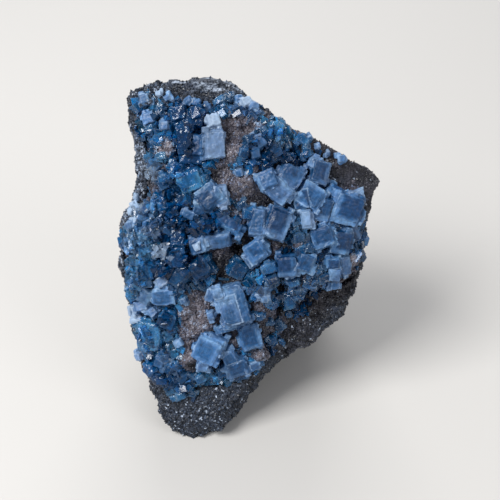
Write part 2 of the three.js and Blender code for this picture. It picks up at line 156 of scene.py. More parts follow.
# Spots of the face are u, v, radius and how strongly. These are where the rock is flecked with
# pale grains, where it broke flat and fine, where it is layered, where a slab of it stands lower
# and where it is stained brown and painted darker as shade.
FLECKED = [
    (-6, 70, 5, 0.5), (12, 72, 4, 0.6), (-11, 60, 6, 0.9), (-12, 50, 6, 0.9),
    (-14, 40, 5, 0.8), (-13, 30, 5, 0.6), (1, 4, 10, 0.09),
]
WING = [(22, 67, 5, 0.7), (27, 63, 6, 0.9), (32, 60, 6, 0.9), (36, 55, 6, 0.8)]
LEDGE = [(-2, 76, 3.5, 1.0), (2, 77, 5, 1.0), (6, 76, 5, 1.0), (10, 74, 3, 0.8)]
SLAB = [(-10, 75, 4.5, 1.0)]
BROWN_SHADED_ROCK = [
    (18, 30, 6, 0.8), (24, 30, 7, 0.9), (30, 34, 6, 0.9), (22, 22, 6, 0.6), (15, 21, 4, 0.6),
]


def rock_height(place, normal):
    """Lumps and small pits, but low ones on the wing and layered ones on the ledge."""
    broad = 0.8 * noise.noise(place / BROAD_LUMPS) + 0.4 * noise.noise(place / SMALL_LUMPS)
    rough = broad + 0.35 * grains(place, ROCK_GRAINS) - 0.2
    ledge = near_any(place, LEDGE)
    flat = max(near_any(place, WING), ledge)
    knobs = 1.1 * (grains(place, BROWN_KNOBS) - 0.5) * near_any(place, BROWN_SHADED_ROCK)
    layers = noise.noise(Vector((place.x * 0.12, place.y * 1.3, place.z * 1.3)))
    upright = smooth(normal.y, 0.1, 0.6)
    shelf = (0.5 * layers + 0.2 + 0.6 * upright) * ledge - upright * near_any(place, SLAB)
    return rough * (1 - 0.75 * flat) + knobs + shelf


rock = remeshed(copy_of("host_rock_skin", "host_rock"), ROCK_VOXEL)
raised(rock, rock_height)
marked(rock, "ledge", lambda place, normal: near_any(place, LEDGE))
# The brown mark is a real stain, and the darker colour it brings is also painted shade.
marked(rock, "brown", lambda place, normal: near_any(place, BROWN_SHADED_ROCK + WING))
marked(
    rock, "flecks",
    lambda place, normal: 0.04 + 0.5 * near_any(place, FLECKED) * smooth(place.z, -12, -3),
)


def adder(tree, family=""):
    """The shorthand that adds a node to a tree: its kind, its settings and then its inputs.

    An input is a plain value or another node's output. It goes by its name, or as _3 by its place.
    """

    def add(kind, settings=(), **inputs):
        node = tree.nodes.new(family + kind)
        for key, value in dict(settings).items():
            setattr(node, key, value)
        for key, value in inputs.items():
            socket = node.inputs[int(key[1:])] if key[0] == "_" else node.inputs[key]
            if isinstance(value, bpy.types.NodeSocket):
                tree.links.new(value, socket)
            else:
                socket.default_value = value
        return node

    return add


def new_finish(name):
    """An empty material, its tree, its principled shader and the shorthand for its other nodes."""
    finish = bpy.data.materials.new(name)
    finish.use_nodes = True
    tree = finish.node_tree
    return finish, tree, tree.nodes["Principled BSDF"], adder(tree, "ShaderNode")


def new_effect(name, inputs, outputs):
    """A shader group that several materials use, with its ends and the shorthand for its nodes."""
    effect = bpy.data.node_groups.new(name, "ShaderNodeTree")
    for title in inputs:
        effect.interface.new_socket(title, in_out="INPUT", socket_type="NodeSocketFloat")
    for title, kind in outputs.items():
        effect.interface.new_socket(title, in_out="OUTPUT", socket_type="NodeSocket" + kind)
    given = effect.nodes.new("NodeGroupInput").outputs
    results = effect.nodes.new("NodeGroupOutput").inputs
    return effect, given, results, adder(effect, "ShaderNode")


def kept(add, title, output="Fac"):
    """What a piece keeps at each point under a title."""
    return add("Attribute", {"attribute_name": title}).outputs[output]


def math_of(add, operation, *values, clamped=False):
    """The result of one operation on values or on other outputs."""
    inputs = {"_" + str(place): value for place, value in enumerate(values)}
    return add("Math", {"operation": operation, "use_clamp": clamped}, **inputs).outputs[0]


def ranged(add, value, low, high, least, most, way="LINEAR"):
    """A value carried over from one range to another and kept inside it."""
    node = add("MapRange", {"interpolation_type": way}, Value=value, _1=low, _2=high, _3=least, _4=most)
    return node.outputs["Result"]


def mixed(add, share, first, second, way="MIX"):
    """Two colours mixed by a share."""
    node = add("Mix", {"data_type": "RGBA", "blend_type": way}, _0=share, _6=first, _7=second)
    return node.outputs[2]


def ramp(add, source, *stops):
    """A colour ramp over a 0 to 1 value; each stop is a place and a colour."""
    node = add("ValToRGB", Fac=source)
    points = node.color_ramp.elements
    while len(points) < len(stops):
        points.new(0.5)
    for point, (place, colour) in zip(points, stops):
        point.position = place
        point.color = (*colour, 1)
    return node.outputs["Color"]


def mineral_grain():
    """The grain of rock and of quartz: a cloudy shade, the relief of fine grains, a chance for each."""
    inputs = ("Cloud Scale", "Cloud Detail", "Cloud Roughness", "Grain Scale")
    outputs = {"Cloud": "Float", "Height": "Float", "Chance": "Float"}
    effect, given, results, add = new_effect("mineral grain", inputs, outputs)
    where = add("TexCoord").outputs["Object"]
    cloud = add("TexNoise", Vector=where, Scale=given["Cloud Scale"], Detail=given["Cloud Detail"],
                Roughness=given["Cloud Roughness"])
    fine = add("TexVoronoi", Vector=where, Scale=given["Grain Scale"])
    chance = add("SeparateColor", Color=fine.outputs["Color"])
    effect.links.new(cloud.outputs["Fac"], results["Cloud"])
    effect.links.new(fine.outputs["Distance"], results["Height"])
    effect.links.new(chance.outputs["Red"], results["Chance"])
    return effect


MINERAL_GRAIN = mineral_grain()


def grain_of(add, cloud_scale, cloud_detail, cloud_roughness, grain_scale):
    """Places the shared grain in a material, with the material's own values."""
    node = add("Group", {"node_tree": MINERAL_GRAIN}, _0=cloud_scale, _1=cloud_detail,
               _2=cloud_roughness, _3=grain_scale)
    return node.outputs


def rock_finish():
    """Black, finely granular rock with grey and white flecks, pale streaks along the ledge, and a dark brown
    stain that is partly painted shade.
    """
    finish, tree, shader, add = new_finish("dark granular rock")
    grain = grain_of(add, 420.0, 5.0, 0.7, 2600.0)
    dark = ramp(add, grain["Cloud"], (0.3, (0.003, 0.005, 0.009)), (0.55, (0.018, 0.026, 0.044)),
                (0.78, (0.045, 0.06, 0.095)))
    # Brown stain, made darker as painted shade.
    brown_shaded = ramp(add, grain["Cloud"], (0.3, (0.004, 0.004, 0.006)), (0.5, (0.013, 0.012, 0.018)),
                (0.75, (0.048, 0.044, 0.057)))
    ground = mixed(add, kept(add, "brown"), dark, brown_shaded)
    fleck = math_of(add, "LESS_THAN", grain["Chance"], kept(add, "flecks"))
    where = add("TexCoord").outputs["Object"]
    drawn = add("Mapping", Vector=where, Scale=(0.12, 1.0, 1.0)).outputs[0]
    streak = add("TexNoise", Vector=drawn, Scale=900.0, Detail=3.0).outputs["Fac"]
    vein = math_of(add, "MULTIPLY", ranged(add, streak, 0.5, 0.64, 0.0, 1.0), kept(add, "ledge"))
    light = ramp(add, add("TexNoise", Vector=where, Scale=900.0).outputs["Fac"],
                 (0.35, (0.05, 0.065, 0.09)), (0.65, (0.4, 0.47, 0.58)))
    colour = mixed(add, math_of(add, "MAXIMUM", fleck, vein), ground, light)
    tree.links.new(colour, shader.inputs["Base Color"])
    tree.links.new(ranged(add, grain["Cloud"], 0.3, 0.7, 0.32, 0.75), shader.inputs["Roughness"])
    relief = add("Bump", Strength=0.8, Distance=0.0003, Height=grain["Height"])
    tree.links.new(relief.outputs["Normal"], shader.inputs["Normal"])
    return finish


def scatter_tree():
    """A tree that grows many small crystals out of a surface, as many as its mark says."""
    tree = bpy.data.node_groups.new("grown crystals", "GeometryNodeTree")
    face = tree.interface
    face.new_socket("Surface", in_out="INPUT", socket_type="NodeSocketGeometry")
    face.new_socket("Crystal", in_out="INPUT", socket_type="NodeSocketObject")
    face.new_socket("Mark", in_out="INPUT", socket_type="NodeSocketString")
    for name in ("Per Square", "Apart", "Smallest", "Largest", "Lean", "Sink"):
        face.new_socket(name, in_out="INPUT", socket_type="NodeSocketFloat")
    face.new_socket("Seed", in_out="INPUT", socket_type="NodeSocketInt")
    face.new_socket("Finish", in_out="INPUT", socket_type="NodeSocketMaterial")
    face.new_socket("Crystals", in_out="OUTPUT", socket_type="NodeSocketGeometry")

    add = adder(tree)
    given = add("NodeGroupInput").outputs
    mark = add("GeometryNodeInputNamedAttribute", {"data_type": "FLOAT"}, Name=given["Mark"])
    points = add(
        "GeometryNodeDistributePointsOnFaces", {"distribute_method": "POISSON"},
        Mesh=given["Surface"], Seed=given["Seed"],
    )
    tree.links.new(given["Apart"], points.inputs["Distance Min"])
    tree.links.new(given["Per Square"], points.inputs["Density Max"])
    tree.links.new(mark.outputs[0], points.inputs["Density Factor"])
    back = add("ShaderNodeMath", {"operation": "MULTIPLY"}, _0=given["Lean"], _1=-1.0)
    low = add("ShaderNodeCombineXYZ", X=back.outputs[0], Y=back.outputs[0])
    high = add("ShaderNodeCombineXYZ", X=given["Lean"], Y=given["Lean"], Z=math.tau)
    tilt = add("FunctionNodeRandomValue", {"data_type": "FLOAT_VECTOR"}, _0=low.outputs[0],
               _1=high.outputs[0])
    tree.links.new(given["Seed"], tilt.inputs["Seed"])
    turn = add("FunctionNodeEulerToRotation", Euler=tilt.outputs[0])
    turned = add("FunctionNodeRotateRotation", {"rotation_space": "LOCAL"},
                 Rotation=points.outputs["Rotation"])
    tree.links.new(turn.outputs[0], turned.inputs[1])
    least, most = (
        add("ShaderNodeCombineXYZ", X=given[name], Y=given[name], Z=given[name]).outputs[0]
        for name in ("Smallest", "Largest")
    )
    size = add("FunctionNodeRandomValue", {"data_type": "FLOAT_VECTOR"}, _0=least, _1=most)
    tree.links.new(given["Seed"], size.inputs["Seed"])
    crystal = add("GeometryNodeObjectInfo", Object=given["Crystal"])
    grown = add(
        "GeometryNodeInstanceOnPoints", Points=points.outputs["Points"],
        Instance=crystal.outputs["Geometry"], Rotation=turned.outputs[0], Scale=size.outputs[0],
    )
    drop = add("ShaderNodeMath", {"operation": "MULTIPLY"}, _0=given["Sink"], _1=-1.0)
    down = add("ShaderNodeCombineXYZ", Z=drop.outputs[0])
    sunk = add("GeometryNodeTranslateInstances", Instances=grown.outputs[0],
               Translation=down.outputs[0])
    shade = add("FunctionNodeRandomValue", {"data_type": "FLOAT"})
    shade.inputs["Seed"].default_value = 5
    named = add("GeometryNodeStoreNamedAttribute", {"data_type": "FLOAT", "domain": "INSTANCE"},
                Geometry=sunk.outputs[0], Name="shade")
    tree.links.new(shade.outputs[1], named.inputs["Value"])
    plain = add("GeometryNodeRealizeInstances", Geometry=named.outputs[0])
    dressed = add("GeometryNodeSetMaterial", Geometry=plain.outputs[0], Material=given["Finish"])
    result = add("NodeGroupOutput")
    tree.links.new(dressed.outputs[0], result.inputs[0])
    return tree


GROWN = scatter_tree()


def grown_on(name, surface, crystal, finish, **settings):
    """Small crystals grown out of a surface, as one plain mesh."""
    piece = linked(name, surface.data.copy())
    growing = piece.modifiers.new("growing", "NODES")
    growing.node_group = GROWN
    sockets = {item.name: item.identifier for item in GROWN.interface.items_tree}
    for socket, value in {"Crystal": crystal, "Finish": finish, **settings}.items():
        growing[sockets[socket.replace("_", " ")]] = value
    return settled(piece)


def pointed(name, sides, width, height):
    """A small many-sided crystal point, to be scaled to its size."""
    form = bmesh.new()
    bmesh.ops.create_cone(
        form, cap_ends=True, segments=sides, radius1=width, radius2=0, depth=height,
        matrix=Matrix.Translation((0, 0, height / 2)),
    )
    mesh = bpy.data.meshes.new(name)
    form.to_mesh(mesh)
    form.free()
    return linked(name, mesh)


def grain_finish():
    """Single shiny grains of the rock, from black to pale grey."""
    finish, tree, shader, add = new_finish("shiny rock grains")
    paler = math_of(add, "ADD", kept(add, "shade"), kept(add, "flecks"))
    value = math_of(add, "SUBTRACT", paler, 0.3)
    dark = ramp(add, value, (0.0, (0.003, 0.005, 0.009)), (0.45, (0.018, 0.026, 0.042)),
                (0.75, (0.06, 0.08, 0.12)), (1.0, (0.2, 0.26, 0.36)))
    # Brown grains, made darker as painted shade.
    brown_shaded = ramp(add, value, (0.0, (0.006, 0.005, 0.007)), (0.45, (0.018, 0.016, 0.022)),
                (0.75, (0.055, 0.05, 0.064)), (1.0, (0.17, 0.16, 0.2)))
    tree.links.new(mixed(add, kept(add, "brown"), dark, brown_shaded), shader.inputs["Base Color"])
    where = add("TexCoord").outputs["Object"]
    rough = add("TexNoise", Vector=where, Scale=1200.0).outputs["Fac"]
    tree.links.new(ranged(add, rough, 0.3, 0.7, 0.2, 0.7), shader.inputs["Roughness"])
    return finish


# Where single young crystals of fluorite grew on the bare rock, which are half milky, deep-cored
# and dark.
SOWN = [
    (21, 29, 4, 0.5), (25, 33, 4, 0.5), (16, 22, 4, 0.5), (1, 10.3, 3, 0.3), (26, 60, 3, 0.25),
    (-9, 64, 4, 0.3),
]
marked(rock, "sown", lambda place, normal: near_any(place, SOWN) * smooth(normal.z, 0.2, 0.6))
marked(rock, "milk", lambda place, normal: 0.45)
marked(rock, "core", lambda place, normal: 1.0)
marked(rock, "tone", lambda place, normal: -0.6)


def grainy(place, normal):
    """Fewer grains stand out at the back and foot, on the wing and on the ledge."""
    plain = max(0.75 * near_any(place, WING), 0.9 * near_any(place, LEDGE))
    return (0.25 + 0.75 * smooth(normal.z, -0.4, 0.3)) * (1 - plain)


marked(rock, "grainy", grainy)
grain = pointed("grain", 4, 0.6, 0.9)
rock_grains = grown_on(
    "host_rock_grains", rock, grain, grain_finish(), Mark="grainy", Per_Square=6.0, Apart=0.2,
    Smallest=0.14, Largest=0.62, Lean=1.2, Sink=0.12, Seed=3,
)

# ---- Quartz crust ----
# A drusy layer over most of the face: brown-grey quartz that grew as thousands of tiny points,
# lumpy and pitted, with painted shade in its hollows. The fluorite grew on it last, so it runs
# under every crystal without a gap.

GRID = 0.27  # fineness of the crust's mesh
FACE_RIGHT = 42
FACE_LEFT = -17
FACE_LOW = -5
FACE_HIGH = 82
ABOVE = 40  # a height clear of everything
COVER = 1.0  # how far the crust reaches past its solid, over the joint with the rock
CRUST_DEPTH = 2.4
LEAST_DEPTH = 0.5
SEAT_COVER = 0.9  # past a group's feet, over its open seat in the solid
GROUND_ROUNDS = 600  # how often the ground is evened out under the crystals
EDGE_DROP = 1.6  # how far the crust sinks into the rock at its edge

# The stretch of the right edge of the face that the crust also covers.
EDGE_FROM = 29
EDGE_LOW = 32.5
EDGE_SLOPE = 0.4
EDGE_HIGH = 51

# How wide the knobs of quartz, their grains and their points are, and its waves.
QUARTZ_KNOBS = 2.4
QUARTZ_GRAINS = 1.1
QUARTZ_TIPS = 0.6
QUARTZ_WAVES = 1.9

# The fluorite, group by group. A crystal is u, v, width, length, how far it stands up, its spin and
# its tilts to the right and up in degrees, then how milky and how deep-cored it is.
FLUORITE = {
    "stepped_crystal": [
        (9.5, 30.7, 5.6, 9, 3.6, 16, 4, 13, 0.5, 0.45),
        (8.5, 29.7, 3.8, 5.8, 4.3, 16, 4, 13, 0.88, 0.25),
        (6.4, 33.1, 2.4, 3, 3, 16, 4, 13, 0.9, 0.05), (12.7, 23.9, 4.4, 6, 2.4, 14, 8, 5, 0.5, 0.75),
        (8, 25.6, 4.2, 1.8, 2.2, 16, 0, 9, 0.55, 0.3),
    ],
    "plate_crystal": [
        (4.5, 21.4, 5.4, 5.8, 3, -24, -6, 1, 0.65, 0.45), (5.8, 22.2, 4.6, 4.4, 2.6, -24, 2, 1, 0.8, 0.1),
        (3.3, 17.6, 2.4, 2.2, 2.3, -8, 0, -1, 0.9, 0.05),
    ],
    "toe_fragments": [
        (8.3, 19.5, 3, 3.8, 2.2, 28, 6, -3, 0.8, 0.5), (9.9, 16.6, 5.6, 3.8, 1.9, 18, 10, -7, 0.6, 0.65),
        (13.2, 16.7, 3.6, 2.2, 1.4, 18, 14, 1, 0.8, 0.3),
    ],
    "zoned_cube": [
        (18, 47.4, 4.6, 6.4, 3.3, -19, 6, 13, 0.8, 1.0),
        (14.4, 47.8, 3.2, 5.8, 2.2, -6, -8, 11, 0.8, 0.4),
    ],
    "diamond_cube": [
        (14.4, 42.3, 4.4, 4.2, 2.8, 34, -6, 3, 0.5, 0.5), (13.4, 40.4, 2.6, 2.4, 2.2, 34, -6, 3, 0.65, 0.2),
    ],
    "heart_cluster": [
        (16.3, 55.8, 4, 3.8, 3, 24, -8, 17, 0.85, 0.45), (20.3, 56.2, 5, 4.2, 3.4, -28, 6, 15, 0.9, 0.35),
        (18, 54.1, 6.2, 4.2, 3.3, -40, 2, 5, 0.9, 0.15),
    ],
    "striped_cluster": [
        (24.3, 52.6, 5.4, 4.8, 3, -33, 6, 11, 0.65, 0.55), (22.9, 51.9, 3.4, 4.2, 2.7, 12, -6, 5, 0.4, 1.0),
        (26.7, 50.1, 3.8, 5, 2.4, -16, 4, 5, 0.6, 0.75),
    ],
    "wing_crystal": [
        (26.1, 56.7, 3.6, 4.8, 3, -14, 8, 15, 0.8, 0.85), (25.1, 58.2, 2.6, 2.4, 2.5, -28, 2, 19, 0.93, 0.0),
    ],
    "right_cluster": [
        (31.4, 49.8, 7, 6.4, 3, -16, 8, 3, 0.6, 0.95), (33.2, 51.5, 3.4, 3, 2.6, 18, 18, 17, 0.95, 0.05),
        (29.3, 52.7, 3.6, 2.8, 2.2, -30, 4, 21, 0.2, 0.9), (33.5, 48.7, 2.8, 3, 2, 10, 24, -1, 0.6, 0.35),
    ],
    "right_lower_cluster": [
        (27.1, 44.7, 4.8, 4.6, 2.6, 20, -4, 5, 0.45, 0.8), (30.5, 43.3, 4.4, 4.8, 2.9, -10, 6, 1, 0.35, 1.0),
        (32.6, 44.4, 3.2, 3.6, 2, 24, 20, 9, 0.45, 0.8),
    ],
    "twin_cubes": [
        (20.2, 39.3, 4, 4.6, 2.6, 6, -4, 1, 0.6, 0.8), (23.5, 39.9, 3.6, 3.8, 2.7, -20, 6, 3, 0.5, 0.65),
    ],
    "edge_cubes": [
        (29, 39.3, 3, 2.4, 2.2, 4, 6, 9, 0.2, 1.0), (29.3, 37, 2.8, 2.6, 2.4, -8, 8, 1, 0.9, 0.0),
        (31.4, 38.6, 2.2, 4.4, 1.6, 8, 22, 5, 0.7, 0.2),
    ],
    "dark_cube": [(10.3, 38.5, 3.6, 3.6, 2, -26, 10, -1, 0.15, 1.0)],
    "navy_crystal": [
        (3.4, 39.1, 4.8, 4, 2.7, 34, -10, -1, 0.1, 1.0), (-0.5, 37, 3.2, 5.4, 2.2, -28, -18, 1, 0.35, 0.6),
    ],
    "lavender_ledge": [
        (6.8, 44.8, 5, 3.2, 2.4, 8, -4, -9, 0.85, 0.25), (8.6, 47.4, 5.8, 2.6, 1.8, -28, 4, 19, 0.15, 0.9),
        (3, 43.7, 3.6, 3.6, 2.3, 18, -10, 3, 0.75, 0.3),
    ],
    "round_crystal": [
        (5.2, 52.9, 4.8, 4.8, 3, 38, -4, 13, 0.35, 0.8), (7.2, 53.2, 2.6, 4.2, 2.4, 12, 10, 9, 0.95, 0.05),
        (3.6, 50.8, 2.8, 2.6, 2.2, -10, -8, -1, 0.3, 0.6),
    ],
    "deep_glass": [
        (1.6, 56, 4.8, 4.4, 2.6, 22, -6, 5, 0.15, 0.7), (-0.8, 57.7, 3, 3, 2.2, -16, -14, 15, 0.25, 0.5),
        (3.5, 55.8, 3, 3.4, 2.1, 8, 6, 1, 0.1, 0.9),
    ],
    "pale_cube": [
        (6, 62.8, 3.9, 5.6, 3.1, 4, 4, 7, 0.95, 0.2), (3, 62.4, 3, 4.4, 2.4, -6, -8, 9, 0.35, 0.7),
        (5.8, 66.5, 2.6, 2.4, 2.2, 14, 6, 23, 1.0, 0.0),
    ],
    "night_cluster": [
        (-0.7, 68.1, 3.4, 3, 2, 12, -8, 15, 0.15, 0.9), (2.4, 67.4, 3.3, 3.8, 2.1, -12, 4, 17, 0.15, 0.95),
        (0.5, 63.6, 3, 6, 2.3, 6, -4, 5, 0.15, 0.85),
    ],
    "left_glass": [
        (-8.6, 44.3, 4.6, 3.4, 2.2, 14, -18, 17, 0.6, 0.1),
        (-10.4, 42.4, 2.8, 3.2, 1.6, -22, -24, 5, 0.8, 0.0),
        (-5.2, 46.1, 3.6, 3, 1.9, 40, -10, 19, 0.9, 0.1), (-4, 41.9, 3.8, 2.4, 2, 6, -8, 9, 1.0, 0.0),
        (-7, 41.1, 3.8, 3.6, 2, 26, -14, 1, 0.3, 0.6),
    ],
    "grey_blue_crystal": [
        (-3.9, 32.7, 5.2, 3.6, 2.3, 6, -10, 1, 0.6, 0.5),
        (-7.8, 32.1, 3.2, 3.4, 1.8, -24, -18, 5, 0.5, 0.35),
    ],
    "bright_crystal": [
        (-7, 24, 5.2, 5.6, 2.8, -6, -14, 3, 0.3, 0.5), (-8.4, 20.7, 3.4, 3.2, 1.6, 22, -20, -9, 0.5, 0.3),
    ],
    "dark_glass": [
        (-3.5, 27.6, 3.4, 4.2, 2.3, -18, -6, 5, 0.15, 1.0), (-3.9, 23.7, 2, 2.4, 1.4, 20, 0, 9, 0.3, 0.3),
    ],
}
# Smaller crystals between them, in the same order of values.
SMALL = [
    (-7.4, 36.9, 3.4, 4.2, 2, -30, -14, 3, 0.35, 0.6),
    (-4.2, 35.5, 2.6, 2.2, 1.8, 30, -10, 13, 0.95, 0.0),
    (-8.8, 29.1, 3.2, 2.2, 2.2, 8, -16, 21, 0.9, 0.0), (-6.6, 28.1, 2.2, 2.4, 2, 42, -10, 23, 0.8, 0.2),
    (-2.6, 16.9, 2.8, 2.6, 1.6, 20, -10, -5, 0.4, 0.6),
    (-5.6, 17.5, 2.4, 2.4, 1.4, -20, -18, -1, 0.6, 0.4),
    (-0.4, 14.5, 3.8, 2.4, 1.3, -12, -4, -11, 0.5, 0.6),
    (-3.4, 12.9, 2.8, 2.2, 1.2, 18, -12, -15, 0.2, 0.7), (2.6, 14.3, 2.4, 2, 1.2, 30, 4, -11, 0.3, 0.6),
    (-6.6, 67.1, 2.6, 2.4, 1.9, 18, -10, 15, 0.7, 0.3),
    (-4.4, 68.3, 1.9, 1.9, 1.6, -20, -6, 19, 0.4, 0.6),
    (-5.9, 64.8, 2.6, 2.8, 1.8, 34, -12, 5, 0.35, 0.6), (-3.6, 66.1, 2, 2, 1.4, 0, -6, 9, 0.9, 0.1),
    (17.9, 65.3, 2.4, 2.8, 1.4, -26, 6, 15, 0.2, 0.6), (16.2, 64.1, 2.2, 2.8, 1.8, -10, 2, 15, 0.3, 0.8),
    (17.4, 62.1, 2.8, 2.8, 1.7, 14, 4, 13, 0.55, 0.4), (19.1, 60, 3, 2, 1.6, -6, 6, 15, 0.15, 0.9),
    (16.2, 59.7, 2.8, 2.4, 1.5, 24, -4, 11, 0.15, 0.9), (-1.6, 22.5, 1.7, 1.7, 1.2, 30, 0, 9, 0.9, 0.1),
    (5, 28.7, 1.7, 1.9, 1.4, 12, 0, 13, 0.9, 0.1), (14.6, 63.4, 2, 2.6, 1.7, 30, 4, 13, 0.9, 0.1),
    (5.2, 33, 2, 2.8, 1.9, -14, -6, 13, 0.85, 0.3), (21.6, 35.5, 2.6, 1.6, 1.8, 22, 0, 3, 0.5, 0.1),
    (23.9, 48.2, 2.3, 4, 2.3, 8, -8, 9, 0.95, 0.0), (23, 63.2, 3, 1.9, 1.1, -32, 4, 13, 0.4, 0.5),
    (23.8, 61, 1.9, 2.6, 1.2, 10, 4, 9, 0.4, 0.6), (30.8, 59.3, 1.6, 1.7, 1, 4, 6, 13, 0.6, 0.2),
    (-7.4, 70.6, 2.3, 2.2, 1.3, 12, -6, 17, 0.6, 0.4), (20.7, 30.6, 2.2, 3.2, 1.6, 10, 8, 3, 0.35, 0.6),
    (23, 31.9, 1.8, 1.6, 1.2, -18, 8, 9, 0.35, 0.7), (18.8, 24.9, 1.8, 1.8, 1.1, 34, 10, -1, 0.4, 0.7),
]
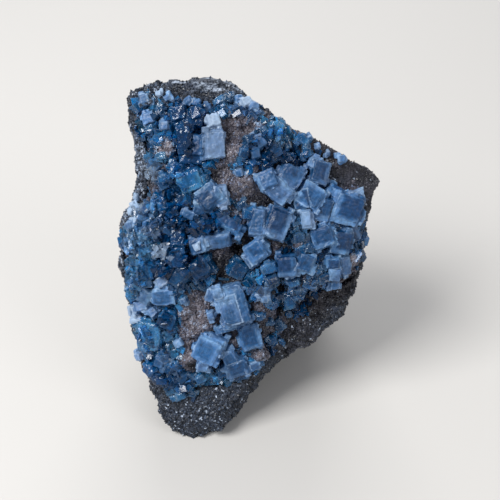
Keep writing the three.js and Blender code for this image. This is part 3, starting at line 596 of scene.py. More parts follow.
# Low crystals that fill the gaps: u, v, width, length, rise and spin, then how milky and how
# deep-cored. They lie along the ground under them.
LOW = [
    (-1.5, 9.6, 2.2, 1.8, 1, 20, 0.3, 0.3), (0.8, 10.2, 1.8, 1.6, 0.9, -10, 0.4, 0.3),
    (-3.2, 8.8, 1.4, 1.4, 0.7, 35, 0.3, 0.3), (-1.4, 49.2, 3.2, 4.6, 1.5, 20, 0.05, 1.0),
    (-0.9, 45.2, 3, 4.6, 1.6, -4, 0.05, 1.0), (-1.5, 41, 3.2, 4, 1.5, 6, 0.15, 0.8),
    (3.1, 47.6, 3.2, 3, 1.5, 22, 0.05, 1.0), (1.3, 49.6, 2.4, 1.8, 1.3, -20, 0.7, 0.2),
    (5.6, 47.6, 2.6, 2, 1.3, 10, 0.3, 0.7), (6.9, 50.2, 3, 1.8, 1.3, -30, 0.2, 0.8),
    (1.6, 60.3, 4.8, 2.8, 1.4, -4, 0.1, 0.9), (-3.7, 60.4, 2.4, 1.6, 1.4, 0, 0.35, 0.2),
    (-3.4, 56, 2.6, 2.6, 1.2, 24, 0.3, 0.7), (-4.9, 50.8, 2.8, 2, 1.2, 0, 0.4, 0.4),
    (-3, 53.3, 2.2, 2.4, 1, -30, 0.3, 0.6), (-3.2, 71.1, 1.4, 1.3, 0.9, 24, 0.6, 0.3),
    (-4.9, 72, 1.3, 1, 0.9, 0, 1.0, 0.0), (1, 70.6, 1.6, 1.4, 1, 30, 0.7, 0.2),
    (2.7, 70.1, 1.4, 1.5, 1, -12, 0.6, 0.3), (4.6, 69.4, 1.8, 1.4, 1, 10, 0.8, 0.3),
    (6.8, 70.4, 2, 1.2, 1, 20, 0.5, 0.5), (8.6, 71, 1.6, 1.4, 1, -10, 0.5, 0.4),
    (10.4, 70.9, 1.6, 1.3, 1, 14, 0.7, 0.3), (12.1, 70.2, 2.2, 1.9, 1.4, 30, 1.0, 0.0),
    (13.5, 69.3, 1.8, 1.6, 1.2, -8, 0.9, 0.1), (12.7, 63.7, 1.8, 1.8, 1.2, 20, 0.5, 0.6),
    (11.5, 61.6, 2, 1.9, 1.2, -14, 0.4, 0.8), (13.6, 61.2, 1.9, 1.6, 1.4, 12, 0.9, 0.1),
    (13.4, 59.4, 1.7, 1.6, 1.1, 36, 0.2, 0.9), (10.9, 57.6, 1.6, 1.8, 1.1, 8, 0.6, 0.5),
    (11.4, 51.6, 1.8, 1.6, 1, 30, 0.3, 0.8), (19.5, 62.8, 1.6, 2.6, 1.2, 16, 0.35, 0.5),
    (21, 58.9, 3.4, 1.8, 1.2, -8, 0.15, 0.9), (24.4, 63.6, 1.2, 1.1, 0.5, 24, 0.6, 0.3),
    (28.1, 60.4, 1, 1.1, 0.5, 0, 0.7, 0.2), (26.3, 62, 0.7, 0.9, 0.4, 12, 0.8, 0.2),
    (16.5, 38.9, 3.4, 2.2, 1.4, 16, 0.5, 0.5), (16.8, 36.4, 3, 2, 1.2, 22, 0.35, 0.7),
    (22.6, 42.7, 2.4, 1.9, 1.2, 12, 0.1, 1.0), (24.4, 42.9, 2.2, 2, 1.3, -24, 0.5, 0.5),
    (22.4, 45, 2.4, 2.2, 1.2, 10, 0.55, 0.4), (21.3, 50.9, 1.8, 1.8, 1.2, 22, 0.2, 0.9),
    (20.6, 52.4, 1.5, 1.4, 1, 0, 0.15, 1.0), (27.3, 36.5, 2.8, 2.2, 1.4, 14, 0.45, 0.8),
    (29.5, 34.9, 2.1, 2, 1.2, 0, 0.6, 0.4), (25.9, 38.1, 1.8, 1.6, 1, 30, 0.3, 0.4),
    (14.7, 33.4, 1.8, 1.7, 1.2, 24, 0.95, 0.0), (15.6, 32.3, 1.3, 1.4, 1.1, 0, 0.9, 0.1),
    (13.6, 32.8, 1.5, 2, 1, -16, 0.15, 1.0), (17.2, 30.7, 2, 2.2, 1.1, 24, 0.4, 0.9),
    (14.7, 28.8, 1.9, 1.5, 1, 10, 0.5, 0.4), (16.1, 34.8, 2.2, 1.6, 1, 20, 0.6, 0.4),
    (18.9, 32.3, 1.4, 1.6, 1, 0, 0.4, 0.6), (22.4, 33.7, 1.6, 1.2, 0.9, 12, 0.4, 0.5),
    (25.4, 34.6, 1.2, 1.1, 0.8, 0, 0.5, 0.3), (20.8, 27.3, 1.3, 1.2, 0.8, 24, 0.4, 0.6),
    (16.8, 26.6, 1.3, 1.3, 0.9, 0, 0.3, 0.7), (17, 22, 2, 1.8, 1, 22, 0.15, 1.0),
    (19.2, 21.2, 1.3, 1.3, 0.8, -12, 0.2, 0.9), (10.6, 14.6, 4, 2, 1.2, 14, 0.35, 0.6),
    (7, 15.4, 2, 1.8, 1.1, 30, 0.3, 0.8), (14.8, 17.6, 1.9, 1.6, 1, 10, 0.5, 0.4),
    (-0.3, 12, 3.2, 1.8, 1.1, -8, 0.2, 0.6), (-3.8, 10.5, 2.6, 2.2, 1.1, 26, 0.35, 0.3),
    (-7.5, 15.5, 3.2, 2.6, 1.4, -30, 0.1, 1.0), (-6.1, 13.4, 2.6, 2.2, 1.2, 12, 0.1, 1.0),
    (-10.3, 17, 2, 1.8, 1.3, 30, 0.95, 0.0), (-4.9, 20, 2, 1.6, 1.1, 0, 0.3, 0.8),
    (-4.3, 18.9, 2.2, 1.8, 1.2, 24, 0.5, 0.4), (-10, 39.2, 2.2, 2.2, 1.2, -12, 0.3, 0.4),
    (-6.4, 39, 2.2, 2, 1.3, 20, 0.15, 0.9), (-4.4, 38.6, 2.2, 2.6, 1.2, 8, 0.1, 1.0),
    # The three thin snowy crystals at u -11 to -9.8, v 26 to 28 are white as a painted glint of clear
    # prisms.
    (-9.8, 33.9, 2, 2.2, 1.2, 22, 0.5, 0.3), (-11, 28, 0.9, 2.2, 1.9, 10, 1.0, 0.0),
    (-9.9, 28.4, 0.9, 2.8, 2.2, -4, 1.0, 0.0), (-9.8, 26.4, 3.2, 1, 1.7, 6, 1.0, 0.0),
    (-10.6, 50.2, 1.2, 1, 0.8, 20, 1.0, 0.0), (-9.6, 51.6, 1, 1.2, 0.7, -14, 0.98, 0.1),
    (-11, 48.6, 1, 1.1, 0.7, 8, 1.0, 0.0), (-9.2, 49.8, 1.1, 1.2, 0.8, 30, 0.98, 0.1),
    (-10.8, 44.8, 1.1, 1.2, 0.8, 16, 1.0, 0.0), (-10.2, 47.4, 1.2, 1, 0.7, -20, 1.0, 0.0),
    (2.2, 43.6, 1.5, 1.5, 3, 22, 1.0, 0.0), (-6.7, 47.6, 2.2, 1.6, 1.2, 30, 0.4, 0.5),
    (-10.7, 46.2, 2.2, 1.6, 1.2, 18, 0.7, 0.1), (-1.6, 33.9, 2, 2.6, 1.2, -14, 0.3, 0.7),
    (-0.2, 32.2, 1.4, 1.3, 1, 22, 0.6, 0.3), (0.2, 52.6, 2.6, 2.4, 1.3, 12, 0.2, 0.7),
    (9.6, 44.6, 2, 1.6, 1.1, 12, 0.5, 0.5), (11.2, 46.9, 2, 1.4, 1.1, -24, 0.7, 0.3),
    (12.3, 49.8, 1.9, 2.2, 1.2, -6, 0.3, 0.9), (24.9, 47.4, 1.6, 2, 1.1, 0, 0.3, 0.7),
    (30.3, 46.4, 2.4, 1.4, 1.2, -10, 0.2, 0.9), (28.7, 47.2, 2.2, 1.6, 1.2, 8, 0.5, 0.5),
]


def tree_of(node):
    """One solid, ready for rays that look down onto the face."""
    solid = copy_of("probe", node)
    found = BVHTree.FromObject(solid, bpy.context.evaluated_depsgraph_get())
    bpy.data.objects.remove(solid)
    return found


def turn_of(crystal):
    """How a crystal is turned: a spin on its own face, then its tilts."""
    spin, right, up = (math.radians(angle) for angle in crystal[5:8])
    tilt = Matrix.Rotation(-up, 3, "X") @ Matrix.Rotation(right, 3, "Y")
    return tilt @ Matrix.Rotation(spin, 3, "Z")


def footprint(group, around):
    """The outline round the feet of a group of crystals, as edges that face outwards."""
    corners = []
    for crystal in group:
        turn = turn_of(crystal)
        for across in (-0.5, 0.5):
            for along in (-0.5, 0.5):
                corner = turn @ Vector((crystal[2] * across, crystal[3] * along, 0))
                corners.append(Vector((crystal[0] + corner.x, crystal[1] + corner.y)))
    ring = [corners[i] for i in convex_hull_2d(corners)]
    area = sum(a.x * b.y - b.x * a.y for a, b in zip(ring, ring[1:] + ring[:1]))
    if area < 0:
        ring.reverse()
    edges = []
    for start, end in zip(ring, ring[1:] + ring[:1]):
        along = (end - start).normalized()
        outward = Vector((along.y, -along.x))
        edges.append((outward, outward.dot(start) + around))
    return edges


# How high the rock and the crust stand over each cell of a grid on the face.
rock_below = tree_of("host_rock")
crust_below = tree_of("quartz_crust")
COLUMNS = int((FACE_RIGHT - FACE_LEFT) / GRID) + 1
ROWS = int((FACE_HIGH - FACE_LOW) / GRID) + 1
rock_level = np.full((COLUMNS, ROWS), np.nan)
crust_level = np.full((COLUMNS, ROWS), np.nan)
for i in range(COLUMNS):
    for j in range(ROWS):
        above = Vector((FACE_LEFT + i * GRID, FACE_LOW + j * GRID, ABOVE))
        bare = rock_below.ray_cast(above, Vector((0, 0, -1)))[0]
        grown = crust_below.ray_cast(above, Vector((0, 0, -1)))[0]
        if bare is not None:
            rock_level[i, j] = bare.z
        if grown is not None:
            crust_level[i, j] = grown.z

# The cells that lie under a crystal.
hidden = np.zeros((COLUMNS, ROWS), bool)
us = FACE_LEFT + GRID * np.arange(COLUMNS)[:, None]
vs = FACE_LOW + GRID * np.arange(ROWS)[None, :]
for group in [*FLUORITE.values(), *([crystal] for crystal in SMALL)]:
    under = np.ones((COLUMNS, ROWS), bool)
    for outward, limit in footprint(group, SEAT_COVER):
        under &= outward.x * us + outward.y * vs < limit
    hidden |= under


def spread(mask, cells):
    """A mask grown by a number of cells on every side."""
    grown = mask.copy()
    for _ in range(cells):
        wider = grown.copy()
        wider[1:] |= grown[:-1]
        wider[:-1] |= grown[1:]
        wider[:, 1:] |= grown[:, :-1]
        wider[:, :-1] |= grown[:, 1:]
        grown = wider
    return grown


def softened(values, rounds):
    """Values evened out with their neighbours a number of times."""
    for _ in range(rounds):
        padded = np.pad(values, 1, mode="edge")
        values = (padded[:-2, 1:-1] + padded[2:, 1:-1] + padded[1:-1, :-2] + padded[1:-1, 2:]) / 4
    return values


# The ground that the crystals stand on: the crust's own top, or the bare rock beside it, carried
# smoothly on under each crystal and over the joints between the solids.
crusted = ~np.isnan(crust_level)
joint = spread(crusted, 2) & ~spread(crusted, 0)
known = np.where(crusted, crust_level, rock_level)
open_cells = hidden | joint | np.isnan(known)
ground = np.where(open_cells, np.nanmean(known), known)
for _ in range(GROUND_ROUNDS):
    ground = np.where(open_cells, softened(ground, 1), known)


def ground_at(u, v):
    """How high the ground is at a place on the face."""
    i = min(max(round((u - FACE_LEFT) / GRID), 0), COLUMNS - 1)
    j = min(max(round((v - FACE_LOW) / GRID), 0), ROWS - 1)
    return float(ground[i, j])


def laid(u, v, width, length, rise, spin, milk, core):
    """A low crystal's full values, tilted as the ground under it."""
    right = math.degrees(math.atan((ground_at(u - 1, v) - ground_at(u + 1, v)) / 2))
    up = math.degrees(math.atan((ground_at(u, v - 1) - ground_at(u, v + 1)) / 2))
    return (u, v, width, length, rise, spin, 0.7 * right, 0.7 * up, milk, core)


def crust_sheet(name):
    """The crust as a closed sheet: its grown top, and an underside down in the rock."""
    inside = spread(crusted | hidden & spread(crusted, 12), int(COVER / GRID))
    inside |= (us > EDGE_FROM) & (vs > EDGE_LOW + EDGE_SLOPE * (us - EDGE_FROM)) & (vs < EDGE_HIGH)
    inside &= ~np.isnan(rock_level) | crusted
    rise = np.clip((softened(inside.astype(float), 8) - 0.5) / 0.38, 0, 1)
    top = ground - (1 - rise) * EDGE_DROP
    rock_top = np.where(np.isnan(rock_level), ground, np.minimum(rock_level, ground))
    bottom = np.minimum(rock_top - CRUST_DEPTH, top - LEAST_DEPTH)
    form = bmesh.new()
    druse = form.verts.layers.float.new("druse")
    corner = {}
    sides = {}  # the directed edges of all cells, in order
    for i, j in zip(*np.nonzero(inside[:-1, :-1])):
        ring = [(i, j), (i + 1, j), (i + 1, j + 1), (i, j + 1)]
        if not all(inside[cell] for cell in ring):
            continue
        for cell in ring:
            if cell not in corner:
                place = (us[cell[0], 0], vs[0, cell[1]])
                corner[cell] = [form.verts.new((*place, level[cell])) for level in (top, bottom)]
                corner[cell][0][druse] = rise[cell]
        form.faces.new([corner[cell][0] for cell in ring])
        form.faces.new([corner[cell][1] for cell in reversed(ring)])
        for start, end in zip(ring, ring[1:] + ring[:1]):
            sides[start, end] = True
    # An edge that only one cell has is on the rim, and gets a side wall.
    for start, end in sides:
        if (end, start) not in sides:
            upper, lower = zip(corner[start], corner[end])
            form.faces.new([upper[1], upper[0], lower[0], lower[1]])
    mesh = bpy.data.meshes.new(name)
    form.to_mesh(mesh)
    form.free()
    return linked(name, mesh)


def druse_height(place):
    """Knobs of quartz about a millimetre across, with finer points over them."""
    knobs = 0.5 * grains(place, QUARTZ_KNOBS) + 0.35 * grains(place, QUARTZ_GRAINS)
    tips = 0.25 * grains(place, QUARTZ_TIPS)
    waves = 0.5 * noise.noise(place / QUARTZ_WAVES)
    return 0.7 * (knobs + tips) + waves - 0.5 + near_any(place, LUMPS)


# Where small blue fluorite hides the quartz, where it is milky and where it is nearly black-blue.
BLUE = [
    (-8, 44, 9, 1.0), (-8, 34, 8, 1.0), (-8, 24, 7, 1.0), (-3, 15, 7, 1.0), (4, 13, 6, 0.9),
    (-4, 67, 7, 0.9), (1, 61, 6, 0.9), (17, 63, 5, 1.0), (0, 50, 8, 1.0), (6, 49, 6, 0.7),
    (20, 33, 5, 0.7), (25, 48, 7, 0.8), (12, 17, 5, 0.7), (30, 44, 8, 0.8), (11.5, 59, 2.5, 0.8),
    (22, 58.5, 2.5, 0.8), (-1, 40, 6, 0.9), (24, 38, 7, 0.6), (15, 36, 4, 0.7), (12.5, 70, 3, 0.9),
    (20, 61, 4, 0.9), (19, 22, 3, 0.5), (-3, 29, 5, 0.7), (-8, 58, 3.5, 0.5), (5, 37, 4, 0.5),
    (4, 70, 4, 0.5), (9.5, 69.5, 2, 0.5),
]
MILKY = [
    (29, 44, 10, 0.7), (22, 56, 9, 0.7), (24, 35, 6, 0.7), (-9, 48, 4, 0.7), (12.5, 70, 4, 0.9),
    (4, 43, 5, 0.6), (-5, 36, 4, 0.7), (-7, 28, 3, 0.8), (-7, 56.5, 3.5, 1.0), (-9.5, 50.5, 3, 1.0),
    (14, 33, 3, 0.8), (30, 35, 5, 0.6), (6, 20, 5, 0.5),
]
NIGHT = [
    (-1, 47, 5, 1.0), (0, 41, 4, 1.0), (1, 61, 4, 1.0), (-2, 52, 3, 0.9), (-4, 38, 3, 0.9),
    (15, 61, 4, 0.9), (21, 59, 3, 0.9), (1.5, 67, 5, 1.0), (1, 62.5, 4, 1.0), (-6, 14, 4, 0.9),
    (7.2, 17.8, 1.8, 0.7), (20, 41, 3, 0.6), (5, 48, 3, 0.9), (11.3, 47.3, 1.8, 0.8),
    (3.5, 39, 3, 0.7), (18.5, 33, 2, 0.8),
]
# Where it is bright azure.
AZURE = [
    (-9, 43, 4, 1.0), (-8.5, 34, 3.5, 0.8), (-8.5, 23, 5, 0.5), (-4.7, 24, 1.3, 1.0),
    (1.5, 56, 3.5, 0.9), (18, 65.5, 3, 0.9), (-9, 38.5, 3, 0.7), (3, 13, 4, 0.5),
    (-3.5, 60.3, 1.6, 1.0), (4, 52, 3, 0.5), (-3, 24, 3, 0.5), (6.5, 47, 2, 0.4), (-6, 71, 3, 0.5),
    (22, 34, 2, 0.2),
]
# Where the quartz or the rock is left bare among it.
BARE = [
    (-12.3, 47, 2.6, 1.0), (-12.8, 40, 2, 1.0), (-12.4, 34, 1.8, 1.0), (-12, 28.5, 2, 1.0),
    (-3.5, 62, 2.3, 1.0), (2, 29, 4.6, 0.95), (10, 64, 5.2, 1.0), (0.8, 18.2, 3.4, 1.0),
    (10.5, 41.8, 2.6, 1.0), (6.5, 37.5, 2.8, 0.9), (20.5, 22.5, 2.5, 0.8), (22.5, 43.5, 1.8, 1.0),
    (33.4, 39.5, 1.8, 1.0), (9.5, 22, 2.4, 1.0), (15, 19, 2.6, 1.0), (11, 55.5, 3.2, 0.9),
    (9, 50.2, 1.8, 0.8), (-8, 52, 3, 0.8), (18.5, 33.2, 1.8, 1.0), (4, 24.3, 1.6, 0.8),
]
# Patches where the quartz is paler and pinker, and hollows painted dark as the shade in them.
PALE_QUARTZ = [
    (-3.5, 62, 2.6, 1.0), (10, 64, 6, 0.6), (11, 56, 5, 0.4), (2, 29, 6, 0.8),
    (22.5, 43.5, 2.2, 1.0), (9.5, 22.5, 2, 0.8), (15, 19, 2.4, 0.8), (33.4, 39.5, 1.8, 0.9),
    (1, 19, 3, 0.9), (20, 23, 2, 0.6), (9, 50, 2.5, 0.6), (26, 41, 1.6, 0.7), (8, 68, 4, 0.9),
    (15, 66, 2.5, 0.6),
]
SHADED_QUARTZ_HOLLOWS = [
    (10.6, 42, 2.4, 1.0), (12, 45, 2.5, 0.7), (18.5, 33.5, 2.6, 1.0), (1, 17.5, 1.4, 1.0),
    (7, 38, 4, 0.8), (16, 52, 3, 0.6), (28, 40.7, 1.5, 0.9), (-8, 57, 4, 0.6), (20, 44, 2.5, 0.8),
    (5, 57, 3, 0.6), (14, 26, 3, 0.5), (-4, 29.5, 2, 0.6), (24, 33, 3, 0.6), (3, 35.5, 3, 0.8),
]
# Where it stands up in lumps.
LUMPS = [
    (-3.5, 62, 2.4, 1.5), (1, 29, 3.2, 0.8), (9.5, 22, 1.6, 0.9), (15.3, 19, 1.8, 1.1),
    (0.8, 17.8, 2.2, 0.9), (33.4, 39.4, 1.6, 1.0), (22.5, 43.5, 1.7, 1.0), (9.6, 61, 3, 0.8),
    (11.5, 55, 2.4, 0.9),
]


def blue_share(place, normal):
    """How much small blue fluorite there is at a place on the crust."""
    return near_any(place, BLUE) * (1 - near_any(place, BARE))


def tone_at(place, normal):
    """From azure, above 0, to night blue, below 0."""
    return near_any(place, AZURE) - 1.4 * near_any(place, NIGHT)


crust = crust_sheet("quartz_druse")
raised(crust, lambda place, normal: druse_height(place) * smooth(normal.z, -0.1, 0.3))
marked(crust, "pale", lambda place, normal: near_any(place, PALE_QUARTZ))
# The "dark" mark is painted shade in the hollows of the quartz.
marked(crust, "dark", lambda place, normal: near_any(place, SHADED_QUARTZ_HOLLOWS))
marked(crust, "milk", lambda place, normal: near_any(place, MILKY))
marked(crust, "tone", tone_at)
marked(crust, "core", lambda place, normal: 0.2 + 0.8 * near_any(place, NIGHT))
marked(crust, "tint", blue_share)
# The same share, but none at the edge of the crust, says where fluorite grows.
marked(crust, "blue", blue_share)
for share, grown in zip(crust.data.attributes["blue"].data, crust.data.attributes["druse"].data):
    share.value *= grown.value


def quartz_finish():
    """Brown-grey, half clear druse, paler and pinker on its crests, with painted shade in its hollows,
    sparkling.
    """
    finish, tree, shader, add = new_finish("drusy quartz")
    grain = grain_of(add, 330.0, 4.0, 0.65, 2200.0)
    shade = kept(add, "shade")
    value = math_of(add, "MULTIPLY_ADD", shade, 0.24, grain["Cloud"])
    lifted = math_of(add, "MULTIPLY_ADD", kept(add, "pale"), 0.27, value)
    # Painted shade: the quartz is darkened in its hollows.
    sunk = math_of(add, "MULTIPLY_ADD", kept(add, "dark"), -0.6, lifted)
    brown = ramp(add, sunk, (0.1, (0.008, 0.008, 0.012)), (0.4, (0.034, 0.032, 0.043)),
                 (0.75, (0.09, 0.08, 0.096)), (1.0, (0.23, 0.21, 0.24)))
    blue = ramp(add, sunk, (0.2, (0.001, 0.006, 0.018)), (0.5, (0.007, 0.03, 0.085)),
                (0.8, (0.03, 0.11, 0.25)), (1.0, (0.16, 0.34, 0.56)))
    patchy = math_of(add, "MULTIPLY_ADD", shade, 0.9, -0.45)
    stained = math_of(add, "MULTIPLY_ADD", patchy, 0.8, kept(add, "tint"), clamped=True)
    tree.links.new(mixed(add, stained, brown, blue), shader.inputs["Base Color"])
    shader.inputs["Roughness"].default_value = 0.4
    relief = add("Bump", Strength=0.6, Distance=0.0002, Height=grain["Height"])
    tree.links.new(relief.outputs["Normal"], shader.inputs["Normal"])
    return finish


QUARTZ = quartz_finish()
point = pointed("point", 6, 0.6, 0.55)
quartz_points = grown_on(
    "quartz_points", crust, point, QUARTZ, Mark="druse", Per_Square=7.5, Apart=0.2,
    Smallest=0.25, Largest=0.8, Lean=0.9, Sink=0.12, Seed=11,
)

# ---- Large fluorite crystals ----
# Blue fluorite cubes and stepped groups of cubes, clear inside and frosted outside. They grew in
# thin layers, so their faces are terraced, their rims are milky and ragged, and their hearts are
# deep blue. A painted highlight runs along their rims and sharp edges.

SUNK = 1.6  # how deep a crystal stands in the crust
FLUORITE_VOXEL = 0.2  # fineness of the crystals' meshes
CLIPPED = 0.14  # how much of a growth layer's corners is missing at most, of its narrow side
CRUSTY = 0.17  # how ragged the frosted crystals are, and the glassy ones
CRUSTY_GLASS = 0.19
COARSE_WAVES = 1.3  # how wide the waves on their faces are
FINE_WAVES = 0.55


def plate(form, turn, foot, width, length, low, high, cut, dice):
    """One growth layer: a plate with four corners clipped by up to `cut` of its narrow side."""
    outline = []
    for across, along in ((1, 1), (-1, 1), (-1, -1), (1, -1)):
        near = cut * dice.random() * min(width, length)
        aside = cut * dice.random() * min(width, length)
        x, y = across * width / 2, along * length / 2
        pair = [(x - across * near, y), (x, y - along * aside)]
        outline += pair if across * along < 0 else pair[::-1]
    rings = []
    for level in (low, high):
        rings.append([form.verts.new(foot + turn @ Vector((x, y, level))) for x, y in outline])
    form.faces.new(reversed(rings[0]))
    form.faces.new(rings[1])
    for k in range(len(outline)):
        after = (k + 1) % len(outline)
        form.faces.new((rings[0][k], rings[0][after], rings[1][after], rings[1][k]))


def crystal_body(form, crystal, foot, dice):
    """A cube as a stack of growth layers, each a little smaller than the one below."""
    width, length, rise = crystal[2:5]
    turn = turn_of(crystal)
    plate(form, turn, foot, width, length, -SUNK, rise * 0.62, 0.1, dice)
    inset = 0.0
    low = rise * 0.5
    for high in (rise * 0.82, rise, rise + 0.22):
        inset += 0.02 + 0.05 * dice.random()
        shift = Vector((dice.uniform(-1, 1) * inset * width, dice.uniform(-1, 1) * inset * length, 0))
        wide, long = width * (1 - 1.6 * inset), length * (1 - 1.6 * inset)
        plate(form, turn, foot + turn @ (shift * 0.6), wide, long, low, high, CLIPPED, dice)
        low = high - 0.3
    # Small cubes that grew in step with the large one notch its outline.
    for _ in range(round((width + length) * 0.8)):
        side = dice.choice((-1, 1))
        slide = dice.uniform(-0.46, 0.46)
        at_end = dice.random() < length / (width + length)
        x, y = (side * width / 2, slide * length) if at_end else (slide * width, side * length / 2)
        small = dice.uniform(0.5, 1.3)
        aside = foot + turn @ Vector((x, y, 0))
        plate(form, turn, aside, small, small * dice.uniform(0.8, 1.5), -SUNK,
              rise * dice.uniform(0.45, 0.97), 0.08, dice)


# Noise in three directions is the same on every run only once its seed is set.
noise.seed_set(5)


def ragged(place, amount):
    """How far the crystals' uneven faces lie from their even ones."""
    coarse = noise.noise_vector(place / COARSE_WAVES) * 0.9
    return amount * (coarse + noise.noise_vector(place / FINE_WAVES + Vector((7, 1, 3))) * 0.5)


# Where the dark heart of a group's main crystal lies, as a share of its width and length.
HEARTS = {
    "fluorite_zoned_cube_crystals": (-0.14, 0.12), "fluorite_right_cluster_crystals": (0.12, 0.14),
    "fluorite_stepped_crystal_crystals": (0.3, -0.1), "fluorite_plate_crystal_crystals": (-0.08, -0.04),
    "fluorite_diamond_cube_crystals": (0.04, 0.1), "fluorite_edge_cubes_crystals": (0.05, -0.12),
}


def sharpness(mesh, reach):
    """How sharply a mesh bulges at each point, 0 on its flats to 1 along its edges."""
    count = len(mesh.vertices)
    places = np.empty(count * 3)
    normals = np.empty(count * 3)
    ends = np.empty(len(mesh.edges) * 2, int)
    mesh.vertices.foreach_get("co", places)
    mesh.vertices.foreach_get("normal", normals)
    mesh.edges.foreach_get("vertices", ends)
    places, normals, ends = places.reshape(-1, 3), normals.reshape(-1, 3), ends.reshape(-1, 2)
    near = np.zeros((count, 3))
    np.add.at(near, ends[:, 0], places[ends[:, 1]])
    np.add.at(near, ends[:, 1], places[ends[:, 0]])
    near /= np.bincount(ends.ravel(), minlength=count)[:, None]
    bulge = ((places - near) * normals).sum(1) / reach
    flat, full = 0.12, 0.32
    return np.clip((bulge - flat) / (full - flat), 0, 1)


def grown_group(name, crystals, voxel, rough, seed):
    """A group of crystals as one skin, with its colour zones kept at each point."""
    dice = random.Random(seed)
    form = bmesh.new()
    feet = []
    for crystal in crystals:
        feet.append(Vector((crystal[0], crystal[1], ground_at(crystal[0], crystal[1]))))
        crystal_body(form, crystal, feet[-1], dice)
    mesh = bpy.data.meshes.new(name)
    form.to_mesh(mesh)
    form.free()
    piece = remeshed(linked(name, mesh), voxel)
    frames = [(crystal, foot, turn_of(crystal).transposed()) for crystal, foot in zip(crystals, feet)]
    for vertex in piece.data.vertices:
        vertex.co = vertex.co + ragged(vertex.co, rough)
    piece.data.update()
    # How sharp each point is, kept for a painted highlight along the edges.
    rims = piece.data.attributes.new("rim", "FLOAT", "POINT")
    rims.data.foreach_set("value", sharpness(piece.data, voxel))
    hearts = [(dice.uniform(-0.2, 0.2), dice.uniform(-0.2, 0.2)) for _ in crystals]
    hearts[0] = HEARTS.get(name, hearts[0])
    # Each point belongs to the crystal it lies deepest in. It keeps how far it is from that one's
    # faces, where it is in it, and the crystal's milkiness, core, shade and tone.
    insets, inner, milks, cores, shades, tones = [], [], [], [], [], []
    for vertex in piece.data.vertices:
        best = None
        for number, (crystal, foot, back) in enumerate(frames):
            local = back @ (vertex.co - foot)
            gaps = (crystal[2] / 2 - abs(local.x), crystal[3] / 2 - abs(local.y), crystal[4] - local.z)
            if best is None or min(gaps) > best[0]:
                best = (min(gaps), number, gaps, local)
        _, number, gaps, local = best
        crystal = crystals[number]
        aside, along = hearts[number]
        insets += [abs(gap) for gap in gaps]
        inner += [local.x / crystal[2] - aside, local.y / crystal[3] - along, local.z / crystal[4]]
        milks.append(crystal[8])
        cores.append(crystal[9])
        tones.append(tone_at(vertex.co, vertex.normal))
        shades.append(0.5 + 0.5 * noise.noise(Vector((number * 3.7, seed * 1.3, 0.5))))
    for title, values in (("milk", milks), ("core", cores), ("shade", shades), ("tone", tones)):
        piece.data.attributes.new(title, "FLOAT", "POINT").data.foreach_set("value", values)
    for title, values in (("inset", insets), ("inner", inner)):
        piece.data.attributes.new(title, "FLOAT_VECTOR", "POINT").data.foreach_set("vector", values)
    return piece


PALE_RIM_AND_HIGHLIGHT = (0.42, 0.57, 0.75, 1.0)
SNOWY_AND_GLINT_BLUE = (0.46, 0.58, 0.72, 1.0)
INNER_BLUE = (0.25, 0.55, 0.85, 1.0)


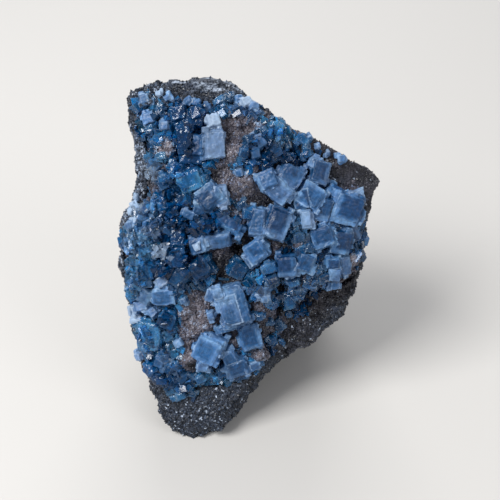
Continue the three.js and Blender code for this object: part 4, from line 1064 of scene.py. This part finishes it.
def growth_zones():
    """Fluorite's zones: thin pale rims with a painted edge highlight, growth lines and a deep blue heart."""
    outputs = {"Color": "Color", "Cloud": "Float", "Waves": "Float"}
    effect, given, results, add = new_effect("growth zones", ("Hearted", "Veiled"), outputs)
    where = add("TexCoord").outputs["Object"]
    milk, core, shade, tone = (kept(add, title) for title in ("milk", "core", "shade", "tone"))
    cloud = add("TexNoise", Vector=where, Scale=900.0, Detail=5.0, Roughness=0.7).outputs["Fac"]
    veil = add("TexNoise", Vector=where, Scale=330.0, Detail=3.0).outputs["Fac"]

    # How far a point is from the nearest edge of its crystal.
    inset = add("SeparateXYZ", Vector=kept(add, "inset", "Vector")).outputs
    low = math_of(add, "MINIMUM", inset[0], inset[1])
    high = math_of(add, "MAXIMUM", inset[0], inset[1])
    from_edge = math_of(add, "MAXIMUM", low, math_of(add, "MINIMUM", high, inset[2]))

    # How deep it lies in the crystal's heart, and how deep its blue is for that.
    inner = add("SeparateXYZ", Vector=kept(add, "inner", "Vector")).outputs
    across, along = math_of(add, "ABSOLUTE", inner[0]), math_of(add, "ABSOLUTE", inner[1])
    from_heart = math_of(add, "MULTIPLY_ADD", veil, 0.45, math_of(add, "MAXIMUM", across, along))
    wavy = math_of(add, "MULTIPLY_ADD", shade, 0.16, from_heart)
    zone = ranged(add, wavy, 0.74, 0.56, 0.0, 1.0, "SMOOTHSTEP")
    hearted = add("Mix", {"data_type": "FLOAT"}, _0=given["Hearted"], _2=0.3, _3=zone).outputs[0]
    toned = math_of(add, "MULTIPLY_ADD", tone, -0.3, -0.4)
    deep = math_of(add, "MULTIPLY_ADD", hearted, core, toned)
    depth = math_of(add, "ADD", veil, deep)

    # Its body, frosted or glassy, speckled, and snowy where it is milkiest; on some of the milkiest
    # crystals the snowy white is a painted glint.
    milky = ramp(add, depth, (0.0, (0.15, 0.285, 0.5)), (0.2, (0.068, 0.155, 0.34)),
                 (0.45, (0.022, 0.095, 0.235)), (0.7, (0.005, 0.058, 0.17)),
                 (1.0, (0.001, 0.036, 0.12)))
    glassy = ramp(add, depth, (0.0, (0.05, 0.31, 0.61)), (0.25, (0.006, 0.185, 0.48)),
                  (0.55, (0.001, 0.12, 0.355)), (1.0, (0.0, 0.062, 0.205)))
    frosted = add("Mix", {"data_type": "FLOAT"}, _0=given["Veiled"], _2=milk, _3=1.0).outputs[0]
    speckle = ranged(add, cloud, 0.3, 0.7, 0.5, 1.4)
    lively = math_of(add, "MULTIPLY_ADD", math_of(add, "MULTIPLY", shade, shade), 1.3, 0.5)
    light = math_of(add, "MULTIPLY", speckle, math_of(add, "MAXIMUM", lively, milk))
    body = mixed(add, 1.0, mixed(add, frosted, glassy, milky), light, "MULTIPLY")
    shaded = mixed(add, ranged(add, milk, 0.93, 1.0, 0.0, 0.6), body, SNOWY_AND_GLINT_BLUE)

    # The pale rims, milky and partly a painted highlight, the painted highlight along sharp crests
    # and the growth lines, fainter over a heart and where it is dark.
    ragged_edge = math_of(add, "MULTIPLY_ADD", cloud, 0.3, math_of(add, "SUBTRACT", from_edge, 0.15))
    rim = ranged(add, ragged_edge, 0.24, 0.04, 0.0, 0.55)
    sharp = math_of(add, "MULTIPLY", kept(add, "rim"), 0.8)
    crest_highlight = math_of(add, "MULTIPLY", sharp, speckle, clamped=True)
    swing = math_of(add, "MULTIPLY_ADD", low, 9.0, math_of(add, "MULTIPLY", veil, 9.0))
    waves = math_of(add, "SINE", swing)
    lines = ranged(add, waves, 0.7, 1.0, 0.0, 0.09)
    rims_lines_and_highlight = math_of(add, "MAXIMUM", math_of(add, "MAXIMUM", rim, crest_highlight), lines)
    window = math_of(add, "MULTIPLY", zone, core)
    clearer = math_of(add, "MULTIPLY_ADD", window, -0.8, ranged(add, tone, -1.2, 0.0, 0.3, 1.0))
    pale = math_of(add, "MULTIPLY", rims_lines_and_highlight, clearer, clamped=True)
    effect.links.new(mixed(add, pale, shaded, PALE_RIM_AND_HIGHLIGHT), results["Color"])
    effect.links.new(cloud, results["Cloud"])
    effect.links.new(waves, results["Waves"])
    return effect


GROWTH_ZONES = growth_zones()


def fluorite_finish(name, hearted, veiled, clear, roughness, absorbing, pitted):
    """Fluorite of one kind: how zoned, milky, clear, rough, deep and pitted it is."""
    finish, tree, shader, add = new_finish(name)
    zones = add("Group", {"node_tree": GROWTH_ZONES}, Hearted=hearted, Veiled=veiled).outputs
    tree.links.new(zones["Color"], shader.inputs["Base Color"])
    tree.links.new(ranged(add, zones["Cloud"], 0.3, 0.7, *roughness), shader.inputs["Roughness"])
    shader.inputs["IOR"].default_value = 1.434
    shader.inputs["Transmission Weight"].default_value = clear
    relief = add("Bump", Strength=0.12, Distance=0.0001, Height=zones["Waves"]).outputs["Normal"]
    fine = add("Bump", Strength=pitted, Distance=0.0001, Height=zones["Cloud"], Normal=relief)
    tree.links.new(fine.outputs["Normal"], shader.inputs["Normal"])
    inside = add("VolumeAbsorption", Density=absorbing, Color=INNER_BLUE)
    tree.links.new(inside.outputs["Volume"], tree.nodes["Material Output"].inputs["Volume"])
    return finish


FROSTED = fluorite_finish("frosted blue fluorite", 0.9, 0.65, 0.25, (0.3, 0.55), 150.0, 0.8)
GLASSY = fluorite_finish("glassy blue fluorite", 0.35, 0.0, 0.65, (0.05, 0.3), 120.0, 0.35)


def cube_seed(name, crook, long):
    """A crooked cube with a rim round each face, the shape that chips and shards grow from."""
    form = bmesh.new()
    bmesh.ops.create_cube(form, size=1)
    corners = form.verts[:]
    bmesh.ops.inset_individual(form, faces=form.faces[:], thickness=0.12)
    insets = [0.0 if vertex in corners else 0.4 for vertex in form.verts]
    mesh = bpy.data.meshes.new(name)
    form.to_mesh(mesh)
    form.free()
    seed = linked(name, mesh)
    # The outer ring of each face has no inset, so it gets the pale rim, partly a painted highlight.
    zones = {
        "inset": [value for inset in insets for value in (inset, inset, 0)],
        "inner": [0.2, 0.2, 0.5] * len(insets),
    }
    for title, values in zones.items():
        mesh.attributes.new(title, "FLOAT_VECTOR", "POINT").data.foreach_set("vector", values)
    for vertex in mesh.vertices:
        vertex.co += crook * noise.noise_vector(vertex.co * 0.9 + Vector((3, 1, 2)))
        vertex.co.x *= long
    return seed


# Where the clear crystals broke into shards, which still stand on them.
SHATTERED = [
    (-8, 43, 6, 1.0), (-8, 34, 7, 0.8), (-3, 50, 6, 0.8), (-7, 24, 5, 0.3), (0, 44, 6, 0.4),
    (-2, 38, 5, 0.3), (5, 48, 5, 0.7), (-5, 66, 4, 0.8), (-2, 14, 5, 0.6), (-1, 57, 3, 0.6),
    (2, 66, 5, 0.2), (17, 62, 5, 0.6), (-4, 28, 3, 0.6),
]
shard = cube_seed("shard", 0.45, 1.5)
shards = []


def shattered(piece, seed):
    """Grows shards out of a piece of clear fluorite."""
    marked(
        piece, "broken",
        lambda place, normal: near_any(place, SHATTERED) * smooth(normal.z, 0, 0.5),
    )
    shards.append(grown_on(
        "fluorite_shards", piece, shard, GLASSY, Mark="broken", Per_Square=1.7, Apart=0.5,
        Smallest=0.25, Largest=1.5, Lean=1.5, Sink=0.05, Seed=seed,
    ))


GLASSY_GROUPS = (
    "left_glass", "bright_crystal", "dark_glass", "deep_glass", "navy_crystal", "night_cluster",
    "dark_cube",
)
for seed, (group, crystals) in enumerate(FLUORITE.items()):
    glassy = group in GLASSY_GROUPS
    cluster = grown_group("fluorite_" + group + "_crystals", crystals, FLUORITE_VOXEL,
                          CRUSTY_GLASS if glassy else CRUSTY, seed)
    if glassy:
        shattered(cluster, seed)
    seated(cluster, GLASSY if glassy else FROSTED, "fluorite", "fluorite_" + group)

# ---- Small fluorite crystals ----
# The young crystals between the large ones: single cubes a millimetre or two wide, and chips of
# less than one. They are fluorite too, the last to grow, rooted in the druse and here and there in
# the bare rock, and where the clear ones broke their shards still stand.

MILKY_FROM = 0.55  # milkier ones than this are frosted, the rest glassy
YOUNG_VOXEL = 0.2
young = [*SMALL, *(laid(*crystal) for crystal in LOW)]
milky_young = grown_group(
    "small_milky_fluorite", [crystal for crystal in young if crystal[8] > MILKY_FROM],
    YOUNG_VOXEL, 0.14, 77,
)
clear_young = grown_group(
    "small_clear_fluorite", [crystal for crystal in young if crystal[8] <= MILKY_FROM],
    YOUNG_VOXEL, 0.15, 78,
)
chip = cube_seed("chip", 0.16, 1.15)
chips = grown_on(
    "young_fluorite", crust, chip, GLASSY, Mark="blue", Per_Square=3.2, Apart=0.42,
    Smallest=0.35, Largest=1.9, Lean=0.8, Sink=0.1, Seed=21,
)
rock_chips = grown_on(
    "rock_fluorite", rock, chip, GLASSY, Mark="sown", Per_Square=2.2, Apart=0.45,
    Smallest=0.3, Largest=1.5, Lean=0.8, Sink=0.1, Seed=23,
)

# The shards of all the clear crystals are one piece.
shattered(clear_young, 90)
with bpy.context.temp_override(active_object=shards[0], selected_editable_objects=shards):
    bpy.ops.object.join()

seated(rock_chips, None, "fluorite")
seated(shards[0], None, "fluorite")
seated(milky_young, FROSTED, "fluorite")
seated(clear_young, GLASSY, "fluorite")
seated(chips, None, "fluorite")

# The crust and the rock are seated last, because crystals grew on them where they were drawn.
seated(quartz_points, None, "quartz")
seated(crust, QUARTZ, "quartz", "quartz_crust")
seated(rock_grains, None, "host_rock")
seated(rock, rock_finish(), "host_rock", "host_rock")
for seed_shape in (grain, point, shard, chip):
    bpy.data.objects.remove(seed_shape)

# ---- Studio ----
# A plain pale floor, a broad soft light from the upper left, a weaker one from the right, one from
# behind and an even pale surround. The camera looks down on the leaning crystal face.

MIDDLE = Vector((0, 0, 0.03))

bpy.ops.mesh.primitive_plane_add(size=2, location=(0, 0, 0))
floor = bpy.context.object
floor.name = "floor"
floor_paint, tree, shader, add = new_finish("pale floor")
shader.inputs["Base Color"].default_value = (0.5, 0.485, 0.46, 1)
shader.inputs["Roughness"].default_value = 0.8
floor.data.materials.append(floor_paint)


def softbox(name, place, size, power):
    """A square soft light that looks at the middle of the specimen."""
    light = bpy.data.lights.new(name, "AREA")
    light.shape = "SQUARE"
    light.size = size
    light.energy = power
    lamp = bpy.data.objects.new(name, light)
    bpy.context.scene.collection.objects.link(lamp)
    lamp.location = place
    lamp.rotation_euler = (MIDDLE - Vector(place)).to_track_quat("-Z", "Y").to_euler()


softbox("upper left softbox", (-0.35, -0.2, 0.5), 0.3, 5.2)
softbox("right fill", (0.45, -0.3, 0.3), 0.3, 1.0)
softbox("window behind", (0.0, 0.5, 0.45), 0.4, 2.2)

world = bpy.data.worlds.new("even surround")
world.use_nodes = True
world.node_tree.nodes["Background"].inputs["Color"].default_value = (0.86, 0.9, 1.0, 1)
world.node_tree.nodes["Background"].inputs["Strength"].default_value = 0.42
bpy.context.scene.world = world
bpy.context.scene.view_settings.view_transform = "Standard"

VIEWED_FROM = Vector((0.000192, -0.131498, 0.142943))
LOOKED_AT = Vector((0.000192, -0.006217, 0.03782))
camera = bpy.data.cameras.new("camera")
camera.lens = 58.875
camera.sensor_width = 36
camera.clip_start = 0.01
viewer = bpy.data.objects.new("camera", camera)
bpy.context.scene.collection.objects.link(viewer)
viewer.location = VIEWED_FROM
viewer.rotation_euler = (LOOKED_AT - VIEWED_FROM).to_track_quat("-Z", "Y").to_euler()
bpy.context.scene.camera = viewer
